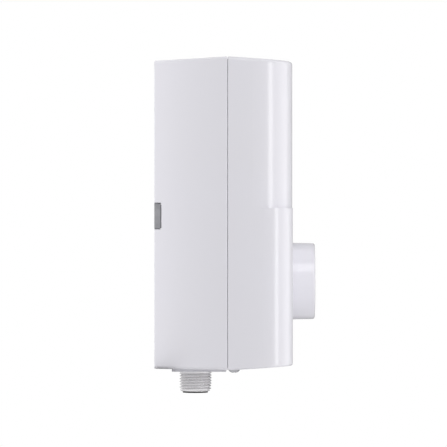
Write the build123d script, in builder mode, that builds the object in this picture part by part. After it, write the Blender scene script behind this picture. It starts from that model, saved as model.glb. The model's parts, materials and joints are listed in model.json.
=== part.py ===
from build123d import *
import math
import os

# Tankless water heater for one tap. X runs across, the wall is the plane Y = 0,
# the front faces -Y and Z points up. A depth is a distance from the wall towards the front.
# The origin is the centre of the four holes that fix the wall bracket. All lengths are millimetres.

# Casing, driving sizes
seam_width = 150.0
side_draft = 2.6
body_depth = 90.6
seam_depth = 47.8
seam_gap = 0.2
rear_top = 100.2
rear_bottom = -100.6
seam_top = 103.0
seam_bottom = -101.6
front_top = 100.3
front_bottom = -98.9
wall = 2.5
side_edge_radius = 2.2
bottom_edge_radius = 1.2
seam_edge_radius = 0.8
rear_edge_radius = 0.5
inner_corner_radius = 0.6
cut_overrun = 2.0

# Rear housing
panel_back_depth = 8.0
panel_thickness = 2.5
pad_start_depth = 11.3
pad_end_inset = 0.9
pad_half_width = 60.0
pad_z = -103.0
pad_thickness = 6.5
pad_edge_radius = 0.3
rim_band = 7.3
rim_inset = 4.6
tongue_inset = 2.8
tongue_length = 2.4
notch_depth = 4.6
notch_height = 17.4
notch_z = -1.0
notch_radius = 0.7
boss_radius = 4.0
boss_back_depth = 3.0
boss_hole_depth = 6.6
post_radius = 4.2
post_height = 4.0
saddle_half_width = 12.0
saddle_height = 8.0

# Cover seal
seal_outer_inset = 1.6
seal_inner_inset = 2.7
seal_rebate = 1.3
seal_side_clearance = 0.1

# Front cover
zone_z = 4.2
upper_corner_radius = 27.0
lower_corner_radius = 20.0
upper_setback = 0.25
cover_side_draft = 1.0
hook_x = 45.0
hook_width = 14.0
hook_bar_low_z = 93.5
hook_bar_thickness = 3.0
hook_root_depth = 60.0
hook_barb_height = 3.1
hook_barb_length = 3.4
hook_clearance = 0.6
lens_radius = 3.0
lens_z = -10.0
lens_flange_radius = 4.2
lens_flange_thickness = 1.0
lens_clearance = 0.1

# Screws: shank radius, head radius and head height of each kind
cover_screw_x = 50.0
cover_screw_depth = 52.1
cover_screw_shank = 1.9
cover_screw_head = 3.95
cover_screw_head_height = 2.9
cover_screw_length = 10.0
cover_screw_seat_z = -101.1
cover_screw_clearance = 0.35
screw_fit = 0.1
housing_screw_shank = 1.9
housing_screw_head = 3.5
housing_screw_head_height = 2.2
housing_screw_length = 7.4
lock_screw_length = 9.0
small_screw_shank = 1.4
small_screw_head = 2.6
small_screw_head_height = 1.7
switch_screw_length = 6.0
cutout_screw_length = 2.6
recess_share = 0.6
recess_width_share = 0.3
head_round_share = 0.45
hex_sides = 6

# Lug and insert for each cover screw
lug_width = 12.0
lug_start_depth = 41.5
lug_end_depth = 57.6
lug_bottom_z = -98.0
lug_height = 10.1
insert_radius = 3.0
insert_length = 8.0
insert_fit = 0.02

# Wall bracket
bracket_thickness = 1.5
bracket_side_gap = 3.9
bracket_half_height = 88.0
bracket_corner_radius = 6.0
wall_hole_radius = 2.75
wall_hole_spacing_x = 80.0
wall_hole_spacing_z = 100.0
side_tab_clearance = 0.5
side_tab_setback = 1.2
hanger_x = 25.0
hanger_width = 14.0
hanger_z = 66.0
hanger_lip = 6.0
hanger_clearance = 0.4
hanger_slot_clearance = 0.5
cup_z = -70.0
cup_outer_radius = 8.0
cup_wall = 1.5
cup_gap = 0.1
cable_window_width = 30.0
cable_window_height = 30.0
cable_window_radius = 4.0

# Water connections: half inch parallel pipe thread
nipple_x = 40.0
nipple_depth = 26.5
thread_length = 13.5
thread_crest_radius = 10.4775
thread_root_radius = 9.3155
thread_pitch = 1.814
thread_grooves = 6
thread_collar = 0.6
thread_root_flat = 0.302
thread_flank = 0.605
end_chamfer_length = 1.5
end_chamfer_width = 1.2
shank_radius = 10.25
shank_hole_radius = 10.6
flange_radius = 14.0
flange_thickness = 3.0
gasket_thickness = 1.0
gasket_inner_radius = 10.9
gasket_outer_radius = 13.7
neck_radius = 9.0
neck_length = 8.5
waterway_radius = 7.0
plate_overhang = 5.5
plate_front_depth = 39.0
plate_back_depth = 14.0
plate_thickness = 1.5
plate_hole_radius = 9.3
plate_corner_radius = 3.0
post_spacing = 20.0

# Pipes and their O-rings
pipe_radius = 5.0
pipe_bore_radius = 4.2
pipe_fit = 0.15
ring_groove_radius = 7.0
ring_groove_length = 2.2
ring_minor_radius = 0.85
ring_major_radius = 6.05
socket_length = 4.0
pipe_bend_radius = 12.0
pipe_slope_radius = 24.0

# Inlet strainer
rim_radius = 8.3
rim_bore_radius = 5.9
rim_thickness = 0.95
strainer_radius = 6.8
strainer_length = 3.2
strainer_wall = 0.9
mesh_thickness = 0.5
mesh_hole_radius = 0.6
mesh_ring_pitch = 1.75
mesh_rings = 2
mesh_holes_per_ring = 6

# Flow switch
flow_radius = 11.0
flow_seat_gap = 0.3
flow_bore_radius = 8.0
flow_body_top_z = -54.0
flow_cap_height = 6.0
spigot_length = 4.0
spigot_clearance = 0.1
spigot_bore_radius = 4.0
neck_fit = 0.12
piston_clearance = 0.35
piston_height = 8.0
piston_wall = 1.6
piston_floor = 2.4
piston_rest_gap = 0.1
piston_holes = 6
spring_radius = 5.6
spring_wire_radius = 0.45
spring_turns = 6
spring_end_gap = 0.1
reed_width = 8.0
reed_depth = 5.0
reed_height = 22.0
reed_low_z = -80.0
reed_gap = 0.3
reed_pin_length = 3.0
reed_pin_width = 2.0
reed_pin_thickness = 0.8

# Heating tank
outlet_side_gap = 6.5
tank_back_gap = 0.7
tank_radius = 24.0
tank_wall = 1.5
tank_base_z = -18.0
tank_base_thickness = 2.0
tank_flange_radius = 30.8
tank_flange_top_z = 77.0
tank_flange_thickness = 3.0
tank_seal_thickness = 1.0
tank_seal_inner = 23.2
tank_seal_outer = 25.6
lid_thickness = 4.0
lid_bolt_circle = 28.0
lid_bolt_count = 6
lid_bolt_shank = 1.9
lid_bolt_across = 6.0
lid_bolt_head_height = 2.6
port_radius = 8.6
port_length = 7.0
side_port_z = 58.0
cutout_pad_width = 20.0
cutout_pad_height = 28.0
cutout_pad_rise = 26.0
cutout_z = 20.0

# Heating elements
element_spacing = 16.0
element_leg_spacing = 16.0
element_tube_radius = 3.2
element_bend_z = -4.0
element_leg_top = 5.0
element_pin_radius = 1.6
element_pin_top = 13.0
element_hole_clearance = 0.1
element_nut_across = 11.0
element_nut_height = 3.6
blade_length = 10.0
blade_width = 6.0
blade_thickness = 0.9
blade_drop = 2.0
link_tail = 6.0
link_side = 3.0
stud_x_offset = 19.0
stud_radius = 2.0
stud_height = 6.0
earth_nut_across = 7.0
earth_nut_height = 2.6
earth_lug_thickness = 1.0
earth_lug_length = 15.0
earth_lug_width = 7.0

# Tank straps
strap_width = 10.0
strap_thickness = 1.0
strap_clearance = 0.3
foot_thickness = 1.5
foot_length = 11.0
low_strap_z = -4.0
high_strap_z = 42.0

# Terminal block, cable clamp and grommet
block_side_gap = 10.5
block_low_z = 42.0
block_high_z = 64.0
block_width = 32.0
block_front_depth = 30.0
block_ear_height = 8.0
block_ear_width = 12.0
pole_pitch = 10.0
pole_hole_radius = 3.2
pole_hole_floor = 16.0
wire_hole_depth = 20.0
wire_hole_radius = 2.0
wire_seat_length = 6.0
terminal_screw_radius = 2.6
terminal_screw_height = 7.0
terminal_screw_inset = 6.0
clamp_z = 22.0
clamp_width = 17.0
clamp_height = 8.0
clamp_top_depth = 24.0
clamp_arch_radius = 4.8
clamp_ear = 8.5
clamp_ear_thickness = 1.5
grommet_z = 2.0
grommet_bore_radius = 4.5
grommet_groove_radius = 7.5
grommet_flange_radius = 9.5
grommet_flange_thickness = 1.6
grommet_fit = 0.1

# Thermal cutout with its reset button
cutout_body_radius = 8.0
cutout_cap_thickness = 1.0
cutout_length = 10.0
cutout_ear_half_height = 13.0
cutout_ear_half_width = 4.5
cutout_screw_offset = 10.6
spade_length = 6.3
spade_width = 6.3
spade_thickness = 0.8
spade_offset = 6.0
button_radius = 1.9
button_hole_radius = 2.2
button_proud = 2.2
button_travel = 1.5
button_rest_gap = 0.1
button_stem = 3.6

# Selector switch
knob_z = -44.5
switch_size = 36.0
switch_length = 22.0
switch_cover_gap = 16.1
switch_base_thickness = 4.0
switch_front_wall = 4.0
switch_corner_radius = 2.0
switch_cavity_radius = 15.5
rotor_radius = 14.8
rotor_hub_radius = 6.0
rotor_clearance = 0.4
rotor_cam_height = 1.6
rotor_cam_share = 0.8
rotor_thickness = 7.0
contact_pitch = 6.4
contact_place_shares = (-1.5, -0.5, 0.5, 1.5)
contact_drop = 9.0
contact_length = 8.0
contact_stub = 1.2
contact_width = 4.2
contact_thickness = 0.8
bushing_radius = 5.0
bushing_length = 6.0
bushing_fit = 0.2
shaft_radius = 3.0
shaft_flat = 2.2
shaft_fit = 0.05
shaft_reach = 10.8
switch_screw_x = 13.0
support_thickness = 1.5
support_half_width = 22.0
support_low = 21.5
support_high = 30.0
support_leg_low = 23.5
support_foot = 11.0
support_screw_z = -58.0
support_tab_half_width = 7.0

# Indicator lamp
lamp_radius = 3.0
lamp_length = 9.0
lamp_collar_radius = 4.5
lamp_collar_thickness = 1.2
lamp_fit = 0.1
lamp_lead_spacing = 4.0
lamp_lead_length = 2.0
lamp_lead_radius = 0.6

# Knob, its clip and the shaft seal
knob_radius = 25.7
knob_front_radius = 25.4
knob_proud = 15.6
knob_gap = 0.6
knob_skin = 2.2
knob_edge_radius = 1.5
knob_boss_radius = 7.0
knob_boss_gap = 1.2
pointer_width = 2.4
pointer_length = 15.0
pointer_end_inset = 3.2
pointer_thickness = 0.7
clip_radius = 7.1
clip_thickness = 0.8
clip_width = 3.0
clip_gap = 2.8
seal_hole_radius = 5.6
seal_body_radius = 5.5
seal_flange_radius = 7.6
seal_flange_thickness = 1.2
seal_fit = 0.08

# Wires
mains_wire_radius = 1.3
lamp_wire_radius = 0.7
wire_bend_share = 0.45

# Places that follow from the sizes above
rear_width = seam_width - 2 * side_draft
bracket_half_width = rear_width / 2 - wall - bracket_side_gap
inner_post_x = nipple_x - post_spacing
outer_post_x = nipple_x + post_spacing
plate_half_width = outer_post_x + plate_overhang
outlet_drop_x = seam_width / 2 - wall - outlet_side_gap - pipe_radius
tank_x = outlet_drop_x - pipe_bend_radius - port_length - tank_radius
block_x = block_side_gap + block_width / 2 + wall - seam_width / 2
switch_front_depth = body_depth - wall - switch_cover_gap
switch_back_depth = switch_front_depth - switch_length
rim_depth = seam_depth - seam_gap / 2
cover_start = seam_depth + seam_gap / 2
panel_front_depth = panel_back_depth + panel_thickness
tank_depth = panel_front_depth + tank_back_gap + tank_flange_radius
cutout_pad_depth = tank_depth + cutout_pad_rise
spade_depth = cutout_pad_depth + spade_offset
pad_floor_z = pad_z + pad_thickness
nipple_end_z = pad_z - thread_length
flange_low_z = pad_floor_z + gasket_thickness
flange_top_z = flange_low_z + flange_thickness
neck_top_z = flange_top_z + neck_length
plate_low_z = pad_floor_z + post_height
foot_front_depth = panel_front_depth + foot_thickness
knob_base_depth = body_depth + knob_gap
knob_front_depth = body_depth + knob_proud
clip_depth = knob_base_depth + clip_gap
shaft_end_depth = body_depth + shaft_reach
tank_lid_z = tank_flange_top_z + tank_seal_thickness
lid_top_z = tank_lid_z + lid_thickness
neck_axis_inlet = (-nipple_x, -nipple_depth)
bottom_port_z = tank_base_z - port_length
side_port_x = tank_x + tank_radius + port_length
inlet_port_depth = nipple_depth
strap_foot_x = tank_radius + strap_clearance + strap_thickness + foot_length / 2

# Screws that hold feet on the back panel, as X and Z
strap_screws = [
    (tank_x + side * strap_foot_x, z) for side in (-1, 1) for z in (low_strap_z, high_strap_z)
]
support_foot_x = support_half_width + support_foot / 2
support_screws = [(-support_foot_x, support_screw_z), (support_foot_x, support_screw_z)]
block_screws = [
    (block_x, block_low_z - block_ear_height / 2),
    (block_x, block_high_z + block_ear_height / 2),
]
clamp_screw_x = (clamp_width + clamp_ear) / 2
clamp_screws = [(block_x - clamp_screw_x, clamp_z), (block_x + clamp_screw_x, clamp_z)]
panel_screws = strap_screws + support_screws + block_screws + clamp_screws
post_places = [-outer_post_x, -inner_post_x, inner_post_x, outer_post_x]

os.makedirs("parts", exist_ok=True)


def save(piece, name):
    # Labels a finished piece and writes it under its own name
    piece.label = name
    export_step(piece, "parts/" + name + ".step")


def housing_outline(depth, inset):
    # Outline of the tapered rear shell at one depth, drawn in by an inset
    share = depth / seam_depth
    half = (rear_width + (seam_width - rear_width) * share) / 2 - inset
    top = rear_top + (seam_top - rear_top) * share - inset
    bottom = rear_bottom + (seam_bottom - rear_bottom) * share + inset
    corner = max(side_edge_radius - inset, inner_corner_radius)
    with Locations((0, (top + bottom) / 2)):
        RectangleRounded(2 * half, top - bottom, corner)


def cover_half_width(depth, inset):
    # Half width of the cover at one depth: its sides lean in towards the front
    share = (depth - cover_start) / (body_depth - cover_start)
    return seam_width / 2 - cover_side_draft * share - inset


def cover_plan(front_depth, inset):
    # Outline of the cover seen from above, with its front corners still sharp
    rear_depth = cover_start if inset == 0 else cover_start - cut_overrun
    front = front_depth - inset
    Polygon(
        (-cover_half_width(rear_depth, inset), -rear_depth),
        (-cover_half_width(front, inset), -front),
        (cover_half_width(front, inset), -front),
        (cover_half_width(rear_depth, inset), -rear_depth),
        align=None,
    )


def cover_side(inset):
    # Outline of the cover seen from the side: Y across and Z up
    rear_depth = cover_start if inset == 0 else cover_start - cut_overrun
    share = (rear_depth - cover_start) / (body_depth - cover_start)
    Polygon(
        (-rear_depth, seam_top + (front_top - seam_top) * share - inset),
        (-body_depth + inset, front_top - inset),
        (-body_depth + inset, front_bottom + inset),
        (-rear_depth, seam_bottom + (front_bottom - seam_bottom) * share + inset),
        align=None,
    )


def pan_screw(shank, head, head_height, length):
    # Pan head screw standing on its seat at the origin, head up, with a cross recess
    recess_depth = head_height * recess_share
    arm = 2 * head * recess_share
    with BuildPart() as screw:
        with BuildSketch():
            Circle(head)
        extrude(amount=head_height)
        fillet(screw.faces().sort_by(Axis.Z)[-1].edges(), head_height * head_round_share)
        with BuildSketch(Plane.XY.offset(head_height)):
            Rectangle(arm, arm * recess_width_share)
            Rectangle(arm * recess_width_share, arm)
        extrude(amount=-recess_depth, mode=Mode.SUBTRACT)
        with BuildSketch():
            Circle(shank)
        extrude(amount=-length)
        chamfer(screw.faces().sort_by(Axis.Z)[0].edges(), shank * recess_width_share)
    return screw.part


def bend_radii(route):
    # Largest arc that the two runs beside each corner leave room for
    radii = []
    for before, here, after in zip(route, route[1:], route[2:]):
        first = Vector(here) - Vector(before)
        second = Vector(after) - Vector(here)
        turn = math.radians(first.get_angle(second))
        shorter = min(first.length, second.length)
        radii.append(wire_bend_share * shorter / math.tan(turn / 2))
    return radii


def coil_point(turn, radius, pitch, low_z):
    # Point of a right-hand helix about the flow switch's axis after some turns
    angle = 2 * math.pi * turn
    x, y = neck_axis_inlet
    return Vector(x + radius * math.cos(angle), y + radius * math.sin(angle), low_z + pitch * turn)


def coil_direction(turn, radius, pitch):
    # Unit tangent of that helix
    angle = 2 * math.pi * turn
    rise = pitch / (2 * math.pi)
    return Vector(-radius * math.sin(angle), radius * math.cos(angle), rise).normalized()


def nipple_outline(socketed):
    # Half section of a connection as radius and height, from the mouth's bore round the thread
    points = [
        (waterway_radius, nipple_end_z),
        (thread_crest_radius - end_chamfer_width, nipple_end_z),
        (thread_crest_radius, nipple_end_z + end_chamfer_length),
    ]
    first_groove_z = pad_z - thread_collar
    for groove in reversed(range(thread_grooves)):
        top = first_groove_z - groove * thread_pitch
        low = top - 2 * thread_flank - thread_root_flat
        points += [
            (thread_crest_radius, low),
            (thread_root_radius, low + thread_flank),
            (thread_root_radius, top - thread_flank),
            (thread_crest_radius, top),
        ]
    points += [
        (thread_crest_radius, pad_z),
        (shank_radius, pad_z),
        (shank_radius, flange_low_z),
        (flange_radius, flange_low_z),
        (flange_radius, flange_top_z),
        (neck_radius, flange_top_z),
        (neck_radius, neck_top_z),
    ]
    if not socketed:
        return points + [(waterway_radius, neck_top_z)]
    socket_radius = pipe_radius + pipe_fit
    groove_low_z = neck_top_z - ring_groove_length
    return points + [
        (ring_groove_radius, neck_top_z),
        (ring_groove_radius, groove_low_z),
        (socket_radius, groove_low_z),
        (socket_radius, groove_low_z - socket_length),
        (pipe_bore_radius, groove_low_z - socket_length),
        (pipe_bore_radius, flange_low_z),
        (waterway_radius, flange_low_z),
    ]


# Rear housing: tapered tray with a back panel, a recess for the bracket and a pad underneath
with BuildPart() as rear_housing:
    with BuildSketch(Plane.XZ):
        housing_outline(0, 0)
    with BuildSketch(Plane.XZ.offset(rim_depth)):
        housing_outline(rim_depth, 0)
    loft(ruled=True)
    fillet(rear_housing.faces().sort_by(Axis.Y)[0].edges(), seam_edge_radius)
    fillet(rear_housing.faces().sort_by(Axis.Y)[-1].edges(), rear_edge_radius)
    # Pad that carries the water connections
    with BuildSketch(Plane.XY.offset(pad_z)):
        with Locations((0, -(pad_start_depth + rim_depth - pad_end_inset) / 2)):
            Rectangle(2 * pad_half_width, rim_depth - pad_end_inset - pad_start_depth)
    extrude(amount=pad_thickness)
    pad_face = rear_housing.faces().sort_by(Axis.Z)[0]
    fillet(pad_face.edges(), pad_edge_radius)
    # Room inside, narrower at the rim
    with BuildSketch(Plane.XZ.offset(panel_front_depth)):
        housing_outline(panel_front_depth, wall)
    with BuildSketch(Plane.XZ.offset(rim_depth - rim_band)):
        housing_outline(rim_depth - rim_band, wall)
    loft(ruled=True, mode=Mode.SUBTRACT)
    with BuildSketch(Plane.XZ.offset(rim_depth - rim_band)):
        housing_outline(rim_depth - rim_band, rim_inset)
    with BuildSketch(Plane.XZ.offset(rim_depth + cut_overrun)):
        housing_outline(rim_depth + cut_overrun, rim_inset)
    loft(ruled=True, mode=Mode.SUBTRACT)
    # Recess behind the panel for the bracket
    with BuildSketch(Plane.XZ.offset(-cut_overrun)):
        housing_outline(-cut_overrun, wall)
    with BuildSketch(Plane.XZ.offset(panel_back_depth)):
        housing_outline(panel_back_depth, wall)
    loft(ruled=True, mode=Mode.SUBTRACT)
    # Tongue that the cover slips over
    with BuildSketch(Plane.XZ.offset(rim_depth)):
        housing_outline(rim_depth, tongue_inset)
    extrude(amount=tongue_length)
    with BuildSketch(Plane.XZ.offset(rim_depth)):
        housing_outline(rim_depth, rim_inset)
    extrude(amount=tongue_length, mode=Mode.SUBTRACT)
    # Flat floor over the pad
    with BuildSketch(Plane.XY.offset(pad_z + wall)):
        with Locations((0, -(pad_start_depth + rim_depth - rim_band) / 2)):
            Rectangle(2 * pad_half_width, rim_depth - rim_band - pad_start_depth)
    extrude(amount=pad_thickness - wall)
    # Lugs for the cover screws
    with BuildSketch(Plane.XY.offset(lug_bottom_z)):
        with Locations(
            (-cover_screw_x, -(lug_start_depth + lug_end_depth) / 2),
            (cover_screw_x, -(lug_start_depth + lug_end_depth) / 2),
        ):
            Rectangle(lug_width, lug_end_depth - lug_start_depth)
    extrude(amount=lug_height)
    with BuildSketch(Plane.XY.offset(lug_bottom_z)):
        with Locations((-cover_screw_x, -cover_screw_depth), (cover_screw_x, -cover_screw_depth)):
            Circle(insert_radius + insert_fit)
    extrude(amount=insert_length, mode=Mode.SUBTRACT)
    # Saddles behind the tank, hollowed to its curve
    with BuildSketch(Plane.XZ.offset(panel_front_depth)):
        with Locations((tank_x, low_strap_z), (tank_x, high_strap_z)):
            Rectangle(2 * saddle_half_width, saddle_height)
    extrude(amount=tank_depth - panel_front_depth)
    with BuildSketch(Plane.XY.offset(low_strap_z - saddle_height)):
        with Locations((tank_x, -tank_depth)):
            Circle(tank_radius + strap_clearance)
    extrude(amount=high_strap_z - low_strap_z + 2 * saddle_height, mode=Mode.SUBTRACT)
    # Bosses behind the panel with a blind hole from the front
    with BuildSketch(Plane.XZ.offset(boss_back_depth)):
        with Locations(*panel_screws):
            Circle(boss_radius)
    extrude(amount=panel_front_depth - boss_back_depth)
    with BuildSketch(Plane.XZ.offset(panel_front_depth)):
        with Locations(*panel_screws):
            Circle(housing_screw_shank + screw_fit)
    extrude(amount=-boss_hole_depth, mode=Mode.SUBTRACT)
    # Posts for the connection plate, and the holes for the nipples
    with BuildSketch(Plane.XY.offset(pad_floor_z)):
        with Locations(*[(x, -nipple_depth) for x in post_places]):
            Circle(post_radius)
    extrude(amount=post_height)
    with BuildSketch(Plane.XY.offset(plate_low_z)):
        with Locations(*[(x, -nipple_depth) for x in post_places]):
            Circle(housing_screw_shank + screw_fit)
    extrude(amount=-boss_hole_depth, mode=Mode.SUBTRACT)
    with BuildSketch(Plane.XY.offset(pad_z - cut_overrun)):
        with Locations((-nipple_x, -nipple_depth), (nipple_x, -nipple_depth)):
            Circle(shank_hole_radius)
    extrude(amount=pad_thickness + 2 * cut_overrun, mode=Mode.SUBTRACT)
    # Openings in the panel: hanger slots, lock screw and cable grommet
    with BuildSketch(Plane.XZ.offset(panel_back_depth - cut_overrun)):
        slot_height = hanger_lip + 2 * bracket_thickness + hanger_slot_clearance
        with Locations((-hanger_x, hanger_z - slot_height / 2), (hanger_x, hanger_z - slot_height / 2)):
            Rectangle(hanger_width + 2 * hanger_slot_clearance, slot_height)
        with Locations((0, cup_z)):
            Circle(housing_screw_shank + screw_fit)
        with Locations((block_x, grommet_z)):
            Circle(grommet_groove_radius + grommet_fit)
    extrude(amount=panel_thickness + 2 * cut_overrun, mode=Mode.SUBTRACT)
    # Notch in each side at the rear edge
    with BuildSketch(Plane.YZ):
        with Locations((-(notch_depth - cut_overrun) / 2, notch_z)):
            RectangleRounded(notch_depth + cut_overrun, notch_height, notch_radius)
    extrude(amount=seam_width, both=True, mode=Mode.SUBTRACT)
save(rear_housing.part, "rear_housing")

# Room inside the front cover, cut from it below
with BuildPart() as cover_core:
    with BuildSketch(Plane.XY.offset(seam_bottom)) as lower_core:
        cover_plan(body_depth, wall)
        fillet(lower_core.vertices().sort_by(Axis.Y)[:2], lower_corner_radius - wall)
    extrude(amount=zone_z - wall - seam_bottom)
    with BuildSketch(Plane.XY.offset(zone_z - wall)) as upper_core:
        cover_plan(body_depth - upper_setback, wall)
        fillet(upper_core.vertices().sort_by(Axis.Y)[:2], upper_corner_radius - wall)
    extrude(amount=seam_top - zone_z + wall)
    with BuildSketch(Plane.YZ):
        cover_side(wall)
    extrude(amount=seam_width, both=True, mode=Mode.INTERSECT)

# Front cover: an upper and a lower zone with different corner radii
with BuildPart() as front_cover:
    with BuildSketch(Plane.XY.offset(seam_bottom)) as lower_plan:
        cover_plan(body_depth, 0)
        fillet(lower_plan.vertices().sort_by(Axis.Y)[:2], lower_corner_radius)
    extrude(amount=zone_z - seam_bottom)
    with BuildSketch(Plane.XY.offset(zone_z)) as upper_plan:
        cover_plan(body_depth - upper_setback, 0)
        fillet(upper_plan.vertices().sort_by(Axis.Y)[:2], upper_corner_radius)
    extrude(amount=seam_top - zone_z)
    with BuildSketch(Plane.YZ):
        cover_side(0)
    extrude(amount=seam_width, both=True, mode=Mode.INTERSECT)
    top_edges = front_cover.faces().sort_by(Axis.Z)[-1].edges().sort_by(Axis.Y)[:-1]
    fillet(top_edges, side_edge_radius)
    low_edges = front_cover.faces().sort_by(Axis.Z)[0].edges().sort_by(Axis.Y)[:-1]
    fillet(low_edges, bottom_edge_radius)
    fillet(front_cover.faces().sort_by(Axis.Y)[-1].edges(), seam_edge_radius)
    add(cover_core.part, mode=Mode.SUBTRACT)
    # Rebate for the seal
    with BuildSketch(Plane.XZ.offset(cover_start - cut_overrun)):
        housing_outline(rim_depth, seal_outer_inset - seal_side_clearance)
    extrude(amount=cut_overrun + seal_rebate, mode=Mode.SUBTRACT)
    # Hooks at the top that catch behind the housing's rim
    hook_starts = [Plane.YZ.offset(side * hook_x - hook_width / 2) for side in (-1, 1)]
    with BuildSketch(*hook_starts):
        barb_front = rim_depth - rim_band - hook_clearance
        barb_back = barb_front - hook_barb_length
        bar_top_z = hook_bar_low_z + hook_bar_thickness
        root_back = rim_depth + tongue_length + hook_clearance
        root_top_z = seam_top - wall
        Polygon(
            (-hook_root_depth, root_top_z),
            (-root_back, root_top_z),
            (-root_back, bar_top_z),
            (-barb_front, bar_top_z),
            (-barb_front, bar_top_z + hook_barb_height),
            (-barb_back, bar_top_z),
            (-barb_back, hook_bar_low_z),
            (-hook_root_depth, hook_bar_low_z),
            align=None,
        )
    extrude(amount=hook_width)
    # Holes for the lens, the shaft seal and the two screws, whose heads sit in flat seats
    with BuildSketch(Plane.XZ.offset(body_depth - wall - cut_overrun)):
        with Locations((0, lens_z)):
            Circle(lens_radius + lens_clearance)
        with Locations((0, knob_z)):
            Circle(seal_hole_radius)
    extrude(amount=wall + 2 * cut_overrun, mode=Mode.SUBTRACT)
    with BuildSketch(Plane.XY.offset(cover_screw_seat_z)):
        with Locations((-cover_screw_x, -cover_screw_depth), (cover_screw_x, -cover_screw_depth)):
            Circle(cover_screw_head + cover_screw_clearance)
    extrude(amount=-wall, mode=Mode.SUBTRACT)
    with BuildSketch(Plane.XY.offset(cover_screw_seat_z - cut_overrun)):
        with Locations((-cover_screw_x, -cover_screw_depth), (cover_screw_x, -cover_screw_depth)):
            Circle(cover_screw_shank + cover_screw_clearance)
    extrude(amount=wall + 2 * cut_overrun, mode=Mode.SUBTRACT)
save(front_cover.part, "front_cover")

# Seal between the two halves, lying on the housing's rim
with BuildPart() as cover_seal:
    with BuildSketch(Plane.XZ.offset(rim_depth)):
        housing_outline(rim_depth, seal_outer_inset)
    extrude(amount=seam_gap + seal_rebate)
    with BuildSketch(Plane.XZ.offset(rim_depth)):
        housing_outline(rim_depth, seal_inner_inset)
    extrude(amount=seam_gap + seal_rebate, mode=Mode.SUBTRACT)
save(cover_seal.part, "cover_seal")

# Two screws that hold the cover at the bottom, and the brass inserts they turn into
cover_screw = pan_screw(cover_screw_shank, cover_screw_head, cover_screw_head_height, cover_screw_length)
with BuildPart() as cover_screws:
    with Locations(
        (-cover_screw_x, -cover_screw_depth, cover_screw_seat_z),
        (cover_screw_x, -cover_screw_depth, cover_screw_seat_z),
    ):
        add(cover_screw, rotation=(180, 0, 0))
save(cover_screws.part, "cover_screws")

with BuildPart() as screw_inserts:
    with BuildSketch(Plane.XY.offset(lug_bottom_z)):
        with Locations((-cover_screw_x, -cover_screw_depth), (cover_screw_x, -cover_screw_depth)):
            Circle(insert_radius)
            Circle(cover_screw_shank + screw_fit, mode=Mode.SUBTRACT)
    extrude(amount=insert_length)
save(screw_inserts.part, "screw_inserts")

# Wall bracket: sheet steel with side tabs, two hangers, a screw cup and a cable window
with BuildPart() as wall_bracket:
    with BuildSketch(Plane.XZ):
        RectangleRounded(2 * bracket_half_width, 2 * bracket_half_height, bracket_corner_radius)
        with Locations((0, notch_z)):
            Rectangle(rear_width - 2 * side_tab_setback, notch_height - 2 * side_tab_clearance)
        with Locations((block_x, grommet_z)):
            RectangleRounded(
                cable_window_width, cable_window_height, cable_window_radius, mode=Mode.SUBTRACT
            )
        with GridLocations(wall_hole_spacing_x, wall_hole_spacing_z, 2, 2):
            Circle(wall_hole_radius, mode=Mode.SUBTRACT)
    extrude(amount=bracket_thickness)
    # Side tabs that show in the notches
    tab_centre = rear_width / 2 - side_tab_setback - bracket_thickness / 2
    with BuildSketch(Plane.XZ):
        with Locations((-tab_centre, notch_z), (tab_centre, notch_z)):
            Rectangle(bracket_thickness, notch_height - 2 * side_tab_clearance)
    extrude(amount=notch_depth - side_tab_clearance)
    # Hangers: a shelf through the panel and a lip in front of it
    lip_back = panel_front_depth + hanger_clearance
    with BuildSketch(Plane.XZ):
        with Locations(
            (-hanger_x, hanger_z - bracket_thickness / 2), (hanger_x, hanger_z - bracket_thickness / 2)
        ):
            Rectangle(hanger_width, bracket_thickness)
    extrude(amount=lip_back + bracket_thickness)
    with BuildSketch(Plane.XZ.offset(lip_back)):
        lip_z = hanger_z - bracket_thickness + hanger_lip / 2
        with Locations((-hanger_x, lip_z), (hanger_x, lip_z)):
            Rectangle(hanger_width, hanger_lip)
    extrude(amount=bracket_thickness)
    # Cup that the lock screw turns into
    with BuildSketch(Plane.XZ):
        with Locations((0, cup_z)):
            Circle(cup_outer_radius)
    extrude(amount=panel_back_depth - cup_gap)
    with BuildSketch(Plane.XZ):
        with Locations((0, cup_z)):
            Circle(cup_outer_radius - cup_wall)
    extrude(amount=panel_back_depth - cup_gap - cup_wall, mode=Mode.SUBTRACT)
    with BuildSketch(Plane.XZ):
        with Locations((0, cup_z)):
            Circle(housing_screw_shank + screw_fit)
    extrude(amount=panel_back_depth, mode=Mode.SUBTRACT)
save(wall_bracket.part, "wall_bracket")

lock_screw = pan_screw(
    housing_screw_shank, housing_screw_head, housing_screw_head_height, lock_screw_length
)
with BuildPart() as bracket_lock_screw:
    with Locations((0, -panel_front_depth, cup_z)):
        add(lock_screw, rotation=(90, 0, 0))
save(bracket_lock_screw.part, "bracket_lock_screw")

# Screws of one size in the back panel and in the posts
housing_screw = pan_screw(
    housing_screw_shank, housing_screw_head, housing_screw_head_height, housing_screw_length
)
with BuildPart() as housing_screws:
    with Locations(*[(x, -foot_front_depth, z) for x, z in panel_screws]):
        add(housing_screw, rotation=(90, 0, 0))
    with Locations(*[(x, -nipple_depth, plate_low_z + plate_thickness) for x in post_places]):
        add(housing_screw)
save(housing_screws.part, "housing_screws")

# Connections, their gaskets and the plate that clamps both
with BuildPart() as inlet_nipple:
    with BuildSketch(Plane.XZ.offset(nipple_depth)):
        Polygon(*[(-nipple_x + r, z) for r, z in nipple_outline(False)], align=None)
    revolve(axis=Axis((-nipple_x, -nipple_depth, 0), (0, 0, 1)))
save(inlet_nipple.part, "inlet_nipple")

with BuildPart() as outlet_nipple:
    with BuildSketch(Plane.XZ.offset(nipple_depth)):
        Polygon(*[(nipple_x + r, z) for r, z in nipple_outline(True)], align=None)
    revolve(axis=Axis((nipple_x, -nipple_depth, 0), (0, 0, 1)))
save(outlet_nipple.part, "outlet_nipple")

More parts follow.
